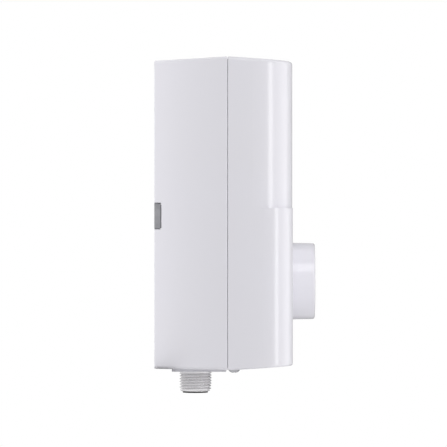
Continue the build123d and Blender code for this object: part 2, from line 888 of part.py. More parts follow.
with BuildPart() as nipple_gaskets:
    with BuildSketch(Plane.XY.offset(pad_floor_z)):
        with Locations((-nipple_x, -nipple_depth), (nipple_x, -nipple_depth)):
            Circle(gasket_outer_radius)
            Circle(gasket_inner_radius, mode=Mode.SUBTRACT)
    extrude(amount=gasket_thickness)
save(nipple_gaskets.part, "nipple_gaskets")

with BuildPart() as connection_plate:
    with BuildSketch(Plane.XY.offset(plate_low_z)):
        with Locations((0, -(plate_front_depth + plate_back_depth) / 2)):
            RectangleRounded(
                2 * plate_half_width, plate_front_depth - plate_back_depth, plate_corner_radius
            )
        with Locations((-nipple_x, -nipple_depth), (nipple_x, -nipple_depth)):
            Circle(plate_hole_radius, mode=Mode.SUBTRACT)
        with Locations(*[(x, -nipple_depth) for x in post_places]):
            Circle(housing_screw_shank + screw_fit, mode=Mode.SUBTRACT)
    extrude(amount=plate_thickness)
save(connection_plate.part, "connection_plate")

# Inlet strainer: rubber rim on the mouth, a short sleeve and a net
with BuildPart() as inlet_strainer:
    with BuildSketch(Plane.XY.offset(nipple_end_z)):
        with Locations((-nipple_x, -nipple_depth)):
            Circle(rim_radius)
            Circle(rim_bore_radius, mode=Mode.SUBTRACT)
    extrude(amount=-rim_thickness)
    with BuildSketch(Plane.XY.offset(nipple_end_z)):
        with Locations((-nipple_x, -nipple_depth)):
            Circle(strainer_radius)
            Circle(strainer_radius - strainer_wall, mode=Mode.SUBTRACT)
    extrude(amount=strainer_length)
    with BuildSketch(Plane.XY.offset(nipple_end_z + strainer_length - mesh_thickness)):
        with Locations((-nipple_x, -nipple_depth)):
            Circle(strainer_radius - strainer_wall / 2)
            Circle(mesh_hole_radius, mode=Mode.SUBTRACT)
        for ring in range(1, mesh_rings + 1):
            with Locations((-nipple_x, -nipple_depth)):
                with PolarLocations(ring * mesh_ring_pitch, mesh_holes_per_ring * ring):
                    Circle(mesh_hole_radius, mode=Mode.SUBTRACT)
    extrude(amount=mesh_thickness)
save(inlet_strainer.part, "inlet_strainer")

# Flow switch over the inlet: body, cap, piston, spring and reed switch
flow_low_z = plate_low_z + plate_thickness + flow_seat_gap
neck_socket_radius = neck_radius + neck_fit
with BuildPart() as flow_switch_body:
    with BuildSketch(Plane.XZ.offset(nipple_depth)):
        Polygon(
            *[
                (-nipple_x + r, z)
                for r, z in (
                    (neck_socket_radius, flow_low_z),
                    (flow_radius, flow_low_z),
                    (flow_radius, flow_body_top_z),
                    (flow_bore_radius, flow_body_top_z),
                    (flow_bore_radius, neck_top_z),
                    (neck_socket_radius, neck_top_z),
                )
            ],
            align=None,
        )
    revolve(axis=Axis((-nipple_x, -nipple_depth, 0), (0, 0, 1)))
    # Seat for the reed switch on the front
    with BuildSketch(Plane.XY.offset(reed_low_z)):
        with Locations((-nipple_x, -(nipple_depth + flow_radius) + reed_gap)):
            Rectangle(reed_width, 4 * reed_gap)
    extrude(amount=reed_height)
save(flow_switch_body.part, "flow_switch_body")

cap_top_z = flow_body_top_z + flow_cap_height
pipe_socket_radius = pipe_radius + pipe_fit
with BuildPart() as flow_switch_cap:
    with BuildSketch(Plane.XZ.offset(nipple_depth)):
        Polygon(
            *[
                (-nipple_x + r, z)
                for r, z in (
                    (spigot_bore_radius, flow_body_top_z - spigot_length),
                    (flow_bore_radius - spigot_clearance, flow_body_top_z - spigot_length),
                    (flow_bore_radius - spigot_clearance, flow_body_top_z),
                    (flow_radius, flow_body_top_z),
                    (flow_radius, cap_top_z),
                    (ring_groove_radius, cap_top_z),
                    (ring_groove_radius, cap_top_z - ring_groove_length),
                    (pipe_socket_radius, cap_top_z - ring_groove_length),
                    (pipe_socket_radius, cap_top_z - ring_groove_length - socket_length),
                    (spigot_bore_radius, cap_top_z - ring_groove_length - socket_length),
                )
            ],
            align=None,
        )
    revolve(axis=Axis((-nipple_x, -nipple_depth, 0), (0, 0, 1)))
save(flow_switch_cap.part, "flow_switch_cap")

piston_low_z = neck_top_z + piston_rest_gap
with BuildPart() as flow_piston:
    with BuildSketch(Plane.XY.offset(piston_low_z)):
        with Locations((-nipple_x, -nipple_depth)):
            Circle(flow_bore_radius - piston_clearance)
    extrude(amount=piston_height)
    with BuildSketch(Plane.XY.offset(piston_low_z + piston_floor)):
        with Locations((-nipple_x, -nipple_depth)):
            Circle(flow_bore_radius - piston_clearance - piston_wall)
    extrude(amount=piston_height, mode=Mode.SUBTRACT)
    with BuildSketch(Plane.XY.offset(piston_low_z)):
        with Locations((-nipple_x, -nipple_depth)):
            with PolarLocations(spigot_bore_radius, piston_holes):
                Circle(piston_wall / 2)
    extrude(amount=piston_floor, mode=Mode.SUBTRACT)
save(flow_piston.part, "flow_piston")

# The spring stands on the piston's floor and reaches the cap's spigot
spring_low_z = piston_low_z + piston_floor + spring_end_gap + spring_wire_radius
spring_high_z = flow_body_top_z - spigot_length - spring_end_gap - spring_wire_radius
spring_pitch = (spring_high_z - spring_low_z) / spring_turns
with BuildPart() as flow_spring:
    with BuildLine() as coil:
        for step in range(2 * spring_turns):
            start = coil_point(step / 2, spring_radius, spring_pitch, spring_low_z)
            end = coil_point((step + 1) / 2, spring_radius, spring_pitch, spring_low_z)
            leave = coil_direction(step / 2, spring_radius, spring_pitch)
            arrive = coil_direction((step + 1) / 2, spring_radius, spring_pitch)
            # Two arcs share a tangent. Handle d solves |end - start - d (leave + arrive)| = 2 d
            span = end - start
            both = leave + arrive
            slope = span.dot(both)
            square = both.dot(both) - 4
            handle = (slope - math.sqrt(slope * slope - square * span.dot(span))) / square
            middle = (start + leave * handle + end - arrive * handle) * 0.5
            across = (end - arrive * handle) - (start + leave * handle)
            TangentArc(start, middle, tangent=leave)
            TangentArc(middle, end, tangent=across.normalized())
    with BuildSketch(
        Plane(
            origin=coil_point(0, spring_radius, spring_pitch, spring_low_z),
            z_dir=coil_direction(0, spring_radius, spring_pitch),
        )
    ):
        Circle(spring_wire_radius)
    sweep(path=coil.wire())
save(flow_spring.part, "flow_spring")
print("spring gap between turns", round(spring_pitch - 2 * spring_wire_radius, 2))

with BuildPart() as reed_switch:
    reed_back = nipple_depth + flow_radius + reed_gap
    with BuildSketch(Plane.XZ.offset(reed_back)):
        with Locations((-nipple_x, reed_low_z + reed_height / 2)):
            RectangleRounded(reed_width, reed_height, reed_gap)
    extrude(amount=reed_depth)
    with BuildSketch(Plane.XY.offset(reed_low_z + reed_height)):
        with Locations(
            (-nipple_x - reed_pin_width, -reed_back - reed_depth / 2),
            (-nipple_x + reed_pin_width, -reed_back - reed_depth / 2),
        ):
            Rectangle(reed_pin_width, reed_pin_thickness)
    extrude(amount=reed_pin_length)
save(reed_switch.part, "reed_switch")

# Pipes: cold from the flow switch to the tank's base, hot from its side to the outlet
inlet_start_z = cap_top_z - ring_groove_length - socket_length
inlet_end_z = bottom_port_z + ring_groove_length + socket_length
inlet_level_z = (inlet_start_z + inlet_end_z) / 2
inlet_route = [
    (-nipple_x, -nipple_depth, inlet_start_z),
    (-nipple_x, -nipple_depth, inlet_level_z),
    (tank_x, -nipple_depth, inlet_level_z),
    (tank_x, -nipple_depth, inlet_end_z),
]
outlet_start_x = side_port_x - ring_groove_length - socket_length
outlet_end_z = neck_top_z - ring_groove_length - socket_length
outlet_high_z = bottom_port_z - pipe_bend_radius
outlet_low_z = neck_top_z + 2 * pipe_bend_radius
outlet_route = [
    (outlet_start_x, -tank_depth, side_port_z),
    (outlet_drop_x, -tank_depth, side_port_z),
    (outlet_drop_x, -tank_depth, outlet_high_z),
    (nipple_x, -nipple_depth, outlet_low_z),
    (nipple_x, -nipple_depth, outlet_end_z),
]
with BuildPart() as inlet_pipe:
    with BuildLine() as inlet_path:
        FilletPolyline(*inlet_route, radius=pipe_bend_radius)
    with BuildSketch(Plane(origin=inlet_path.line @ 0, z_dir=inlet_path.line % 0)):
        Circle(pipe_radius)
        Circle(pipe_bore_radius, mode=Mode.SUBTRACT)
    sweep(path=inlet_path.wire())
save(inlet_pipe.part, "inlet_pipe")

with BuildPart() as outlet_pipe:
    with BuildLine() as outlet_path:
        FilletPolyline(*outlet_route, radius=[pipe_bend_radius, pipe_slope_radius, pipe_slope_radius])
    with BuildSketch(Plane(origin=outlet_path.line @ 0, z_dir=outlet_path.line % 0)):
        Circle(pipe_radius)
        Circle(pipe_bore_radius, mode=Mode.SUBTRACT)
    sweep(path=outlet_path.wire())
save(outlet_pipe.part, "outlet_pipe")

with BuildPart() as pipe_seals:
    half_groove = ring_groove_length / 2
    with Locations(
        (-nipple_x, -nipple_depth, cap_top_z - half_groove),
        (nipple_x, -nipple_depth, neck_top_z - half_groove),
        (tank_x, -inlet_port_depth, bottom_port_z + half_groove),
    ):
        Torus(ring_major_radius, ring_minor_radius)
    with Locations((side_port_x - half_groove, -tank_depth, side_port_z)):
        Torus(ring_major_radius, ring_minor_radius, rotation=(0, 90, 0))
save(pipe_seals.part, "pipe_seals")

# Heating tank: shell with ports and a pad, flat seal, lid and bolts
with BuildPart() as tank_shell:
    with BuildSketch(Plane.XY.offset(tank_base_z)):
        with Locations((tank_x, -tank_depth)):
            Circle(tank_radius)
    extrude(amount=tank_flange_top_z - tank_base_z)
    with BuildSketch(Plane.XY.offset(tank_flange_top_z)):
        with Locations((tank_x, -tank_depth)):
            Circle(tank_flange_radius)
    extrude(amount=-tank_flange_thickness)
    with BuildSketch(Plane.XZ.offset(tank_depth)):
        with Locations((tank_x, cutout_z)):
            Rectangle(cutout_pad_width, cutout_pad_height)
    extrude(amount=cutout_pad_depth - tank_depth)
    with BuildSketch(Plane.XY.offset(bottom_port_z)):
        with Locations((tank_x, -inlet_port_depth)):
            Circle(port_radius)
    extrude(amount=port_length + tank_base_thickness)
    with BuildSketch(Plane.YZ.offset(tank_x)):
        with Locations((-tank_depth, side_port_z)):
            Circle(port_radius)
    extrude(amount=tank_radius + port_length)
    with BuildSketch(Plane.XY.offset(tank_base_z + tank_base_thickness)):
        with Locations((tank_x, -tank_depth)):
            Circle(tank_radius - tank_wall)
    extrude(amount=tank_flange_top_z - tank_base_z, mode=Mode.SUBTRACT)
    # Bores of the two ports, each with a groove for its ring at the mouth
    with BuildSketch(Plane.XY.offset(bottom_port_z)):
        with Locations((tank_x, -inlet_port_depth)):
            Circle(ring_groove_radius)
    extrude(amount=ring_groove_length, mode=Mode.SUBTRACT)
    with BuildSketch(Plane.XY.offset(bottom_port_z)):
        with Locations((tank_x, -inlet_port_depth)):
            Circle(pipe_socket_radius)
    extrude(amount=ring_groove_length + socket_length, mode=Mode.SUBTRACT)
    with BuildSketch(Plane.XY.offset(bottom_port_z)):
        with Locations((tank_x, -inlet_port_depth)):
            Circle(pipe_bore_radius)
    extrude(amount=port_length + tank_base_thickness + cut_overrun, mode=Mode.SUBTRACT)
    with BuildSketch(Plane.YZ.offset(side_port_x)):
        with Locations((-tank_depth, side_port_z)):
            Circle(ring_groove_radius)
    extrude(amount=-ring_groove_length, mode=Mode.SUBTRACT)
    with BuildSketch(Plane.YZ.offset(side_port_x)):
        with Locations((-tank_depth, side_port_z)):
            Circle(pipe_socket_radius)
    extrude(amount=-ring_groove_length - socket_length, mode=Mode.SUBTRACT)
    with BuildSketch(Plane.YZ.offset(side_port_x)):
        with Locations((-tank_depth, side_port_z)):
            Circle(pipe_bore_radius)
    extrude(amount=-port_length - tank_wall - cut_overrun, mode=Mode.SUBTRACT)
    # Bolt holes in the flange and screw holes in the pad
    with BuildSketch(Plane.XY.offset(tank_flange_top_z)):
        with Locations((tank_x, -tank_depth)):
            with PolarLocations(lid_bolt_circle, lid_bolt_count, start_angle=180 / lid_bolt_count):
                Circle(lid_bolt_shank + screw_fit)
    extrude(amount=-tank_flange_thickness, mode=Mode.SUBTRACT)
    with BuildSketch(Plane.XZ.offset(cutout_pad_depth)):
        with Locations(
            (tank_x, cutout_z - cutout_screw_offset), (tank_x, cutout_z + cutout_screw_offset)
        ):
            Circle(small_screw_shank + screw_fit)
    extrude(amount=-cutout_screw_length, mode=Mode.SUBTRACT)
save(tank_shell.part, "tank_shell")

with BuildPart() as tank_seal:
    with BuildSketch(Plane.XY.offset(tank_flange_top_z)):
        with Locations((tank_x, -tank_depth)):
            Circle(tank_seal_outer)
            Circle(tank_seal_inner, mode=Mode.SUBTRACT)
    extrude(amount=tank_seal_thickness)
save(tank_seal.part, "tank_seal")

leg_offset = element_leg_spacing / 2
element_depths = [tank_depth - element_spacing / 2, tank_depth + element_spacing / 2]
leg_places = [(tank_x + side * leg_offset, -depth) for depth in element_depths for side in (-1, 1)]
stud_x = tank_x - stud_x_offset
with BuildPart() as tank_lid:
    with BuildSketch(Plane.XY.offset(tank_lid_z)):
        with Locations((tank_x, -tank_depth)):
            Circle(tank_flange_radius)
            with PolarLocations(lid_bolt_circle, lid_bolt_count, start_angle=180 / lid_bolt_count):
                Circle(lid_bolt_shank + screw_fit, mode=Mode.SUBTRACT)
        with Locations(*leg_places):
            Circle(element_tube_radius + element_hole_clearance, mode=Mode.SUBTRACT)
    extrude(amount=lid_thickness)
save(tank_lid.part, "tank_lid")

with BuildPart() as lid_bolts:
    with BuildSketch(Plane.XY.offset(lid_top_z)):
        with Locations((tank_x, -tank_depth)):
            with PolarLocations(lid_bolt_circle, lid_bolt_count, start_angle=180 / lid_bolt_count):
                RegularPolygon(lid_bolt_across / 2, hex_sides, major_radius=False)
    extrude(amount=lid_bolt_head_height)
    with BuildSketch(Plane.XY.offset(lid_top_z)):
        with Locations((tank_x, -tank_depth)):
            with PolarLocations(lid_bolt_circle, lid_bolt_count, start_angle=180 / lid_bolt_count):
                Circle(lid_bolt_shank)
    extrude(amount=tank_flange_top_z - tank_flange_thickness - lid_top_z)
save(lid_bolts.part, "lid_bolts")

# Heating elements: a hairpin tube with a cold pin on each leg and a blade for the wire
leg_top_z = lid_top_z + element_leg_top
pin_top_z = lid_top_z + element_pin_top
blade_z = pin_top_z - blade_drop - blade_thickness
for number, depth in enumerate(element_depths, start=1):
    with BuildPart() as heating_element:
        with BuildLine(Plane.XZ.offset(depth)) as hairpin:
            down = Line((tank_x - leg_offset, leg_top_z), (tank_x - leg_offset, element_bend_z))
            bend = JernArc(down @ 1, (0, -1), leg_offset, 180)
            Line(bend @ 1, (tank_x + leg_offset, leg_top_z))
        with BuildSketch(Plane.XY.offset(leg_top_z)):
            with Locations((tank_x - leg_offset, -depth)):
                Circle(element_tube_radius)
        sweep(path=hairpin.wire())
        with BuildSketch(Plane.XY.offset(leg_top_z)):
            with Locations((tank_x - leg_offset, -depth), (tank_x + leg_offset, -depth)):
                Circle(element_pin_radius)
        extrude(amount=pin_top_z - leg_top_z)
        with BuildSketch(Plane.XY.offset(blade_z)):
            with Locations((tank_x - leg_offset - blade_length / 2, -depth)):
                Rectangle(blade_length, blade_width)
        extrude(amount=blade_thickness)
    save(heating_element.part, "heating_element_" + str(number))

with BuildPart() as element_nuts:
    with BuildSketch(Plane.XY.offset(lid_top_z)):
        with Locations(*leg_places):
            RegularPolygon(element_nut_across / 2, hex_sides, major_radius=False)
            Circle(element_tube_radius + element_hole_clearance, mode=Mode.SUBTRACT)
    extrude(amount=element_nut_height)
save(element_nuts.part, "element_nuts")

# Link that joins the two neutral pins, with a tail for the wire
link_z = leg_top_z
link_x = tank_x + leg_offset
with BuildPart() as element_link:
    with BuildSketch(Plane.XY.offset(link_z)):
        with Locations((link_x, -tank_depth)):
            Rectangle(2 * link_side, element_spacing + 2 * link_side)
        with Locations((link_x - (link_side + link_tail) / 2, -tank_depth)):
            Rectangle(link_side + link_tail, blade_width)
        with Locations(*[(link_x, -depth) for depth in element_depths]):
            Circle(element_pin_radius + element_hole_clearance, mode=Mode.SUBTRACT)
    extrude(amount=blade_thickness)
save(element_link.part, "element_link")

with BuildPart() as earth_stud:
    with BuildSketch(Plane.XY.offset(lid_top_z)):
        with Locations((stud_x, -tank_depth)):
            Circle(stud_radius)
    extrude(amount=stud_height)
    chamfer(earth_stud.faces().sort_by(Axis.Z)[-1].edges(), stud_radius * recess_width_share)
    with BuildSketch(Plane.XY.offset(lid_top_z)):
        with Locations((stud_x - earth_lug_length / 2, -tank_depth)):
            Rectangle(earth_lug_length, earth_lug_width)
        with Locations((stud_x, -tank_depth)):
            Circle(earth_lug_width / 2)
    extrude(amount=earth_lug_thickness)
save(earth_stud.part, "earth_stud")

with BuildPart() as earth_nut:
    with BuildSketch(Plane.XY.offset(lid_top_z + earth_lug_thickness)):
        with Locations((stud_x, -tank_depth)):
            RegularPolygon(earth_nut_across / 2, hex_sides, major_radius=False)
            Circle(stud_radius + screw_fit, mode=Mode.SUBTRACT)
    extrude(amount=earth_nut_height)
save(earth_nut.part, "earth_nut")

# Two straps round the tank with a foot at each end
strap_inner = tank_radius + strap_clearance
strap_outer = strap_inner + strap_thickness
with BuildPart() as tank_straps:
    with BuildSketch(
        Plane.XY.offset(low_strap_z - strap_width / 2), Plane.XY.offset(high_strap_z - strap_width / 2)
    ):
        with Locations((tank_x, -tank_depth)):
            Circle(strap_outer)
        with Locations((tank_x, -(tank_depth + panel_front_depth) / 2)):
            Rectangle(2 * strap_outer, tank_depth - panel_front_depth)
        with Locations((tank_x, -panel_front_depth - foot_thickness / 2)):
            Rectangle(2 * (strap_outer + foot_length), foot_thickness)
        with Locations((tank_x, -tank_depth)):
            Circle(strap_inner, mode=Mode.SUBTRACT)
        with Locations((tank_x, -(tank_depth + panel_back_depth) / 2)):
            Rectangle(2 * strap_inner, tank_depth - panel_back_depth, mode=Mode.SUBTRACT)
    extrude(amount=strap_width)
    with BuildSketch(Plane.XZ.offset(panel_front_depth)):
        with Locations(*strap_screws):
            Circle(housing_screw_shank + screw_fit)
    extrude(amount=foot_thickness, mode=Mode.SUBTRACT)
save(tank_straps.part, "tank_straps")

# Terminal block for three poles, its clamping screws, the cable clamp and the grommet
pole_xs = [block_x + side * pole_pitch for side in (-1, 0, 1)]
block_height = block_high_z - block_low_z
block_middle_z = (block_high_z + block_low_z) / 2
screw_rows = [block_low_z + terminal_screw_inset, block_high_z - terminal_screw_inset]
with BuildPart() as terminal_block:
    with BuildSketch(Plane.XZ.offset(panel_front_depth)):
        with Locations((block_x, block_middle_z)):
            Rectangle(block_width, block_height)
            Rectangle(block_ear_width, block_height + 2 * block_ear_height)
        with Locations(*block_screws):
            Circle(housing_screw_shank + screw_fit, mode=Mode.SUBTRACT)
    extrude(amount=foot_thickness)
    with BuildSketch(Plane.XZ.offset(panel_front_depth)):
        with Locations((block_x, block_middle_z)):
            Rectangle(block_width, block_height)
    extrude(amount=block_front_depth - panel_front_depth)
    with BuildSketch(Plane.XZ.offset(block_front_depth)):
        with Locations(*[(x, z) for x in pole_xs for z in screw_rows]):
            Circle(pole_hole_radius)
    extrude(amount=pole_hole_floor - block_front_depth, mode=Mode.SUBTRACT)
    with BuildSketch(Plane.XY.offset(block_low_z)):
        with Locations(*[(x, -wire_hole_depth) for x in pole_xs]):
            Circle(wire_hole_radius)
    extrude(amount=block_height, mode=Mode.SUBTRACT)
save(terminal_block.part, "terminal_block")

terminal_seat_depth = wire_hole_depth + wire_hole_radius
with BuildPart() as terminal_screws:
    with BuildSketch(Plane.XZ.offset(terminal_seat_depth)):
        with Locations(*[(x, z) for x in pole_xs for z in screw_rows]):
            Circle(terminal_screw_radius)
    extrude(amount=terminal_screw_height)
    with BuildSketch(Plane.XZ.offset(terminal_seat_depth + terminal_screw_height)):
        with Locations(*[(x, z) for x in pole_xs for z in screw_rows]):
            Rectangle(2 * terminal_screw_radius, terminal_screw_radius * recess_width_share)
    extrude(amount=-terminal_screw_radius * recess_share, mode=Mode.SUBTRACT)
save(terminal_screws.part, "terminal_screws")

with BuildPart() as cable_clamp:
    with BuildSketch(Plane.XY.offset(clamp_z - clamp_height / 2)):
        with Locations((block_x, -(panel_front_depth + clamp_top_depth) / 2)):
            Rectangle(clamp_width, clamp_top_depth - panel_front_depth)
        with Locations((block_x, -panel_front_depth - clamp_ear_thickness / 2)):
            Rectangle(clamp_width + 2 * clamp_ear, clamp_ear_thickness)
        with Locations((block_x, -panel_front_depth)):
            Circle(clamp_arch_radius, mode=Mode.SUBTRACT)
            Rectangle(2 * clamp_arch_radius, 2 * clamp_arch_radius, mode=Mode.SUBTRACT)
    extrude(amount=clamp_height)
    fillet(cable_clamp.edges().filter_by(Axis.Z).sort_by(Axis.Y)[:2], clamp_ear_thickness)
    with BuildSketch(Plane.XZ.offset(panel_front_depth)):
        with Locations(*clamp_screws):
            Circle(housing_screw_shank + screw_fit)
    extrude(amount=clamp_ear_thickness, mode=Mode.SUBTRACT)
save(cable_clamp.part, "cable_clamp")

with BuildPart() as cable_grommet:
    with BuildSketch(Plane.XZ.offset(panel_back_depth - grommet_flange_thickness)):
        with Locations((block_x, grommet_z)):
            Circle(grommet_flange_radius)
    extrude(amount=grommet_flange_thickness)
    with BuildSketch(Plane.XZ.offset(panel_back_depth)):
        with Locations((block_x, grommet_z)):
            Circle(grommet_groove_radius)
    extrude(amount=panel_thickness)
    with BuildSketch(Plane.XZ.offset(panel_front_depth)):
        with Locations((block_x, grommet_z)):
            Circle(grommet_flange_radius)
    extrude(amount=grommet_flange_thickness)
    with BuildSketch(Plane.XZ.offset(panel_back_depth - grommet_flange_thickness)):
        with Locations((block_x, grommet_z)):
            Circle(grommet_bore_radius)
    extrude(amount=panel_thickness + 2 * grommet_flange_thickness, mode=Mode.SUBTRACT)
save(cable_grommet.part, "cable_grommet")

# Thermal cutout on the tank's pad, with ears, two blades and a hole for the button
cutout_front_depth = cutout_pad_depth + cutout_length
with BuildPart() as thermal_cutout:
    with BuildSketch(Plane.XZ.offset(cutout_pad_depth)):
        with Locations((tank_x, cutout_z)):
            Circle(cutout_body_radius)
            Rectangle(2 * cutout_ear_half_width, 2 * cutout_ear_half_height)
        with Locations(
            (tank_x, cutout_z - cutout_screw_offset), (tank_x, cutout_z + cutout_screw_offset)
        ):
            Circle(small_screw_shank + screw_fit, mode=Mode.SUBTRACT)
    extrude(amount=cutout_cap_thickness)
    with BuildSketch(Plane.XZ.offset(cutout_pad_depth)):
        with Locations((tank_x, cutout_z)):
            Circle(cutout_body_radius)
    extrude(amount=cutout_length)
    with BuildSketch(Plane.XZ.offset(spade_depth)):
        with Locations((tank_x, cutout_z)):
            Rectangle(2 * (cutout_body_radius + spade_length), spade_width)
    extrude(amount=spade_thickness)
    button_back_depth = cutout_front_depth - button_stem
    with BuildSketch(Plane.XZ.offset(cutout_front_depth)):
        with Locations((tank_x, cutout_z)):
            Circle(button_hole_radius)
    extrude(amount=-button_stem - button_travel - button_rest_gap, mode=Mode.SUBTRACT)
save(thermal_cutout.part, "thermal_cutout")

small_screw = pan_screw(
    small_screw_shank, small_screw_head, small_screw_head_height, cutout_screw_length
)
with BuildPart() as cutout_screws:
    with Locations(
        (tank_x, -cutout_pad_depth - cutout_cap_thickness, cutout_z - cutout_screw_offset),
        (tank_x, -cutout_pad_depth - cutout_cap_thickness, cutout_z + cutout_screw_offset),
    ):
        add(small_screw, rotation=(90, 0, 0))
save(cutout_screws.part, "cutout_screws")

with BuildPart() as cutout_reset_button:
    with BuildSketch(Plane.XZ.offset(button_back_depth)):
        with Locations((tank_x, cutout_z)):
            Circle(button_radius)
    extrude(amount=button_stem + button_proud)
    fillet(cutout_reset_button.faces().sort_by(Axis.Y)[0].edges(), button_radius * recess_width_share)
save(cutout_reset_button.part, "cutout_reset_button")

# Selector switch: base with contacts, body, rotor and shaft
switch_base_front = switch_back_depth + switch_base_thickness
contact_xs = [contact_pitch * share for share in contact_place_shares]
contact_z = knob_z - contact_drop
contact_end_depth = switch_back_depth - contact_length
with BuildPart() as selector_terminal_base:
    with BuildSketch(Plane.XZ.offset(switch_back_depth)):
        with Locations((0, knob_z)):
            RectangleRounded(switch_size, switch_size, switch_corner_radius)
        with Locations(*[(x, contact_z) for x in contact_xs]):
            Rectangle(
                contact_width + screw_fit, contact_thickness + screw_fit, mode=Mode.SUBTRACT
            )
    extrude(amount=switch_base_thickness)
save(selector_terminal_base.part, "selector_terminal_base")

with BuildPart() as selector_contacts:
    with BuildSketch(Plane.XZ.offset(contact_end_depth)):
        with Locations(*[(x, contact_z) for x in contact_xs]):
            Rectangle(contact_width, contact_thickness)
    extrude(amount=switch_base_front + contact_stub - contact_end_depth)
save(selector_contacts.part, "selector_contacts")

cavity_front = switch_front_depth - switch_front_wall
with BuildPart() as selector_switch_body:
    with BuildSketch(Plane.XZ.offset(switch_base_front)):
        with Locations((0, knob_z)):
            RectangleRounded(switch_size, switch_size, switch_corner_radius)
    extrude(amount=switch_front_depth - switch_base_front)
    with BuildSketch(Plane.XZ.offset(switch_front_depth)):
        with Locations((0, knob_z)):
            Circle(bushing_radius)
    extrude(amount=bushing_length)
    with BuildSketch(Plane.XZ.offset(switch_base_front)):
        with Locations((0, knob_z)):
            Circle(switch_cavity_radius)
    extrude(amount=cavity_front - switch_base_front, mode=Mode.SUBTRACT)
    with BuildSketch(Plane.XZ.offset(switch_base_front)):
        with Locations((0, knob_z)):
            Circle(shaft_radius + shaft_fit)
    extrude(amount=switch_front_depth + bushing_length - switch_base_front, mode=Mode.SUBTRACT)
    with BuildSketch(Plane.XZ.offset(switch_front_depth)):
        with Locations((-switch_screw_x, knob_z), (switch_screw_x, knob_z)):
            Circle(small_screw_shank + screw_fit)
    extrude(amount=-switch_front_wall, mode=Mode.SUBTRACT)
save(selector_switch_body.part, "selector_switch_body")

rotor_back = switch_base_front + contact_stub + rotor_clearance
with BuildPart() as selector_rotor:
    with BuildSketch(Plane.XZ.offset(rotor_back)):
        with Locations((0, knob_z)):
            Circle(rotor_radius)
    extrude(amount=rotor_thickness)
    with BuildSketch(Plane.XZ.offset(rotor_back + rotor_thickness)):
        with Locations((0, knob_z)):
            Circle(rotor_hub_radius)
        with Locations((rotor_radius * rotor_cam_share / 2, knob_z)):
            Rectangle(rotor_radius * rotor_cam_share, rotor_cam_height)
    extrude(amount=rotor_cam_height)
    with BuildSketch(Plane.XZ.offset(rotor_back)):
        with Locations((0, knob_z)):
            Circle(shaft_radius + shaft_fit)
    extrude(amount=rotor_thickness + rotor_cam_height, mode=Mode.SUBTRACT)
save(selector_rotor.part, "selector_rotor")

# Shaft with a flat along its knob end; the flat faces down at rest
flat_start_depth = knob_base_depth + knob_boss_gap
with BuildPart() as selector_shaft:
    with BuildSketch(Plane.XZ.offset(rotor_back)):
        with Locations((0, knob_z)):
            Circle(shaft_radius)
    extrude(amount=shaft_end_depth - rotor_back)
    with BuildSketch(Plane.XZ.offset(flat_start_depth)):
        with Locations((0, knob_z - shaft_flat - shaft_radius / 2)):
            Rectangle(2 * shaft_radius, shaft_radius)
    extrude(amount=shaft_end_depth - flat_start_depth, mode=Mode.SUBTRACT)
save(selector_shaft.part, "selector_shaft")

# Sheet steel support for the switch, standing on the back panel
support_front = switch_front_depth + support_thickness
support_leg_z = knob_z - support_leg_low / 2
with BuildPart() as switch_support:
    with BuildSketch(Plane.XZ.offset(switch_front_depth)):
        with Locations((0, knob_z + (support_high - support_low) / 2)):
            Rectangle(2 * support_half_width, support_low + support_high)
        with Locations((0, lens_z)):
            RectangleRounded(2 * support_tab_half_width, 2 * support_tab_half_width, switch_corner_radius)
        with Locations((0, knob_z)):
            Circle(bushing_radius + bushing_fit, mode=Mode.SUBTRACT)
        with Locations((0, lens_z)):
            Circle(lamp_radius + lamp_fit, mode=Mode.SUBTRACT)
        with Locations((-switch_screw_x, knob_z), (switch_screw_x, knob_z)):
            Circle(small_screw_shank + screw_fit, mode=Mode.SUBTRACT)
    extrude(amount=support_thickness)
    leg_x = support_half_width - support_thickness / 2
    with BuildSketch(Plane.XZ.offset(panel_front_depth)):
        with Locations((-leg_x, support_leg_z), (leg_x, support_leg_z)):
            Rectangle(support_thickness, support_leg_low)
    extrude(amount=support_front - panel_front_depth)
    with BuildSketch(Plane.XZ.offset(panel_front_depth)):
        with Locations((-support_foot_x, support_leg_z), (support_foot_x, support_leg_z)):
            Rectangle(support_foot, support_leg_low)
        with Locations(*support_screws):
            Circle(housing_screw_shank + screw_fit, mode=Mode.SUBTRACT)
    extrude(amount=foot_thickness)
save(switch_support.part, "switch_support")

switch_screw = pan_screw(
    small_screw_shank, small_screw_head, small_screw_head_height, switch_screw_length - support_thickness
)
with BuildPart() as switch_screws:
    with Locations(
        (-switch_screw_x, -support_front, knob_z), (switch_screw_x, -support_front, knob_z)
    ):
        add(switch_screw, rotation=(90, 0, 0))
save(switch_screws.part, "switch_screws")

# Indicator: a lamp on the support and a light window flush in the cover
lamp_back = support_front - lamp_collar_thickness
with BuildPart() as indicator_lamp:
    with BuildSketch(Plane.XZ.offset(support_front)):
        with Locations((0, lens_z)):
            Circle(lamp_collar_radius)
    extrude(amount=lamp_collar_thickness)
    with BuildSketch(Plane.XZ.offset(lamp_back - lamp_collar_thickness)):
        with Locations((0, lens_z)):
            Circle(lamp_radius)
    extrude(amount=lamp_length)
    fillet(indicator_lamp.faces().sort_by(Axis.Y)[0].edges(), lamp_collar_thickness)
    with BuildSketch(Plane.XZ.offset(lamp_back - lamp_collar_thickness)):
        with Locations((-lamp_lead_spacing / 2, lens_z), (lamp_lead_spacing / 2, lens_z)):
            Circle(lamp_lead_radius)
    extrude(amount=-lamp_lead_length)
save(indicator_lamp.part, "indicator_lamp")

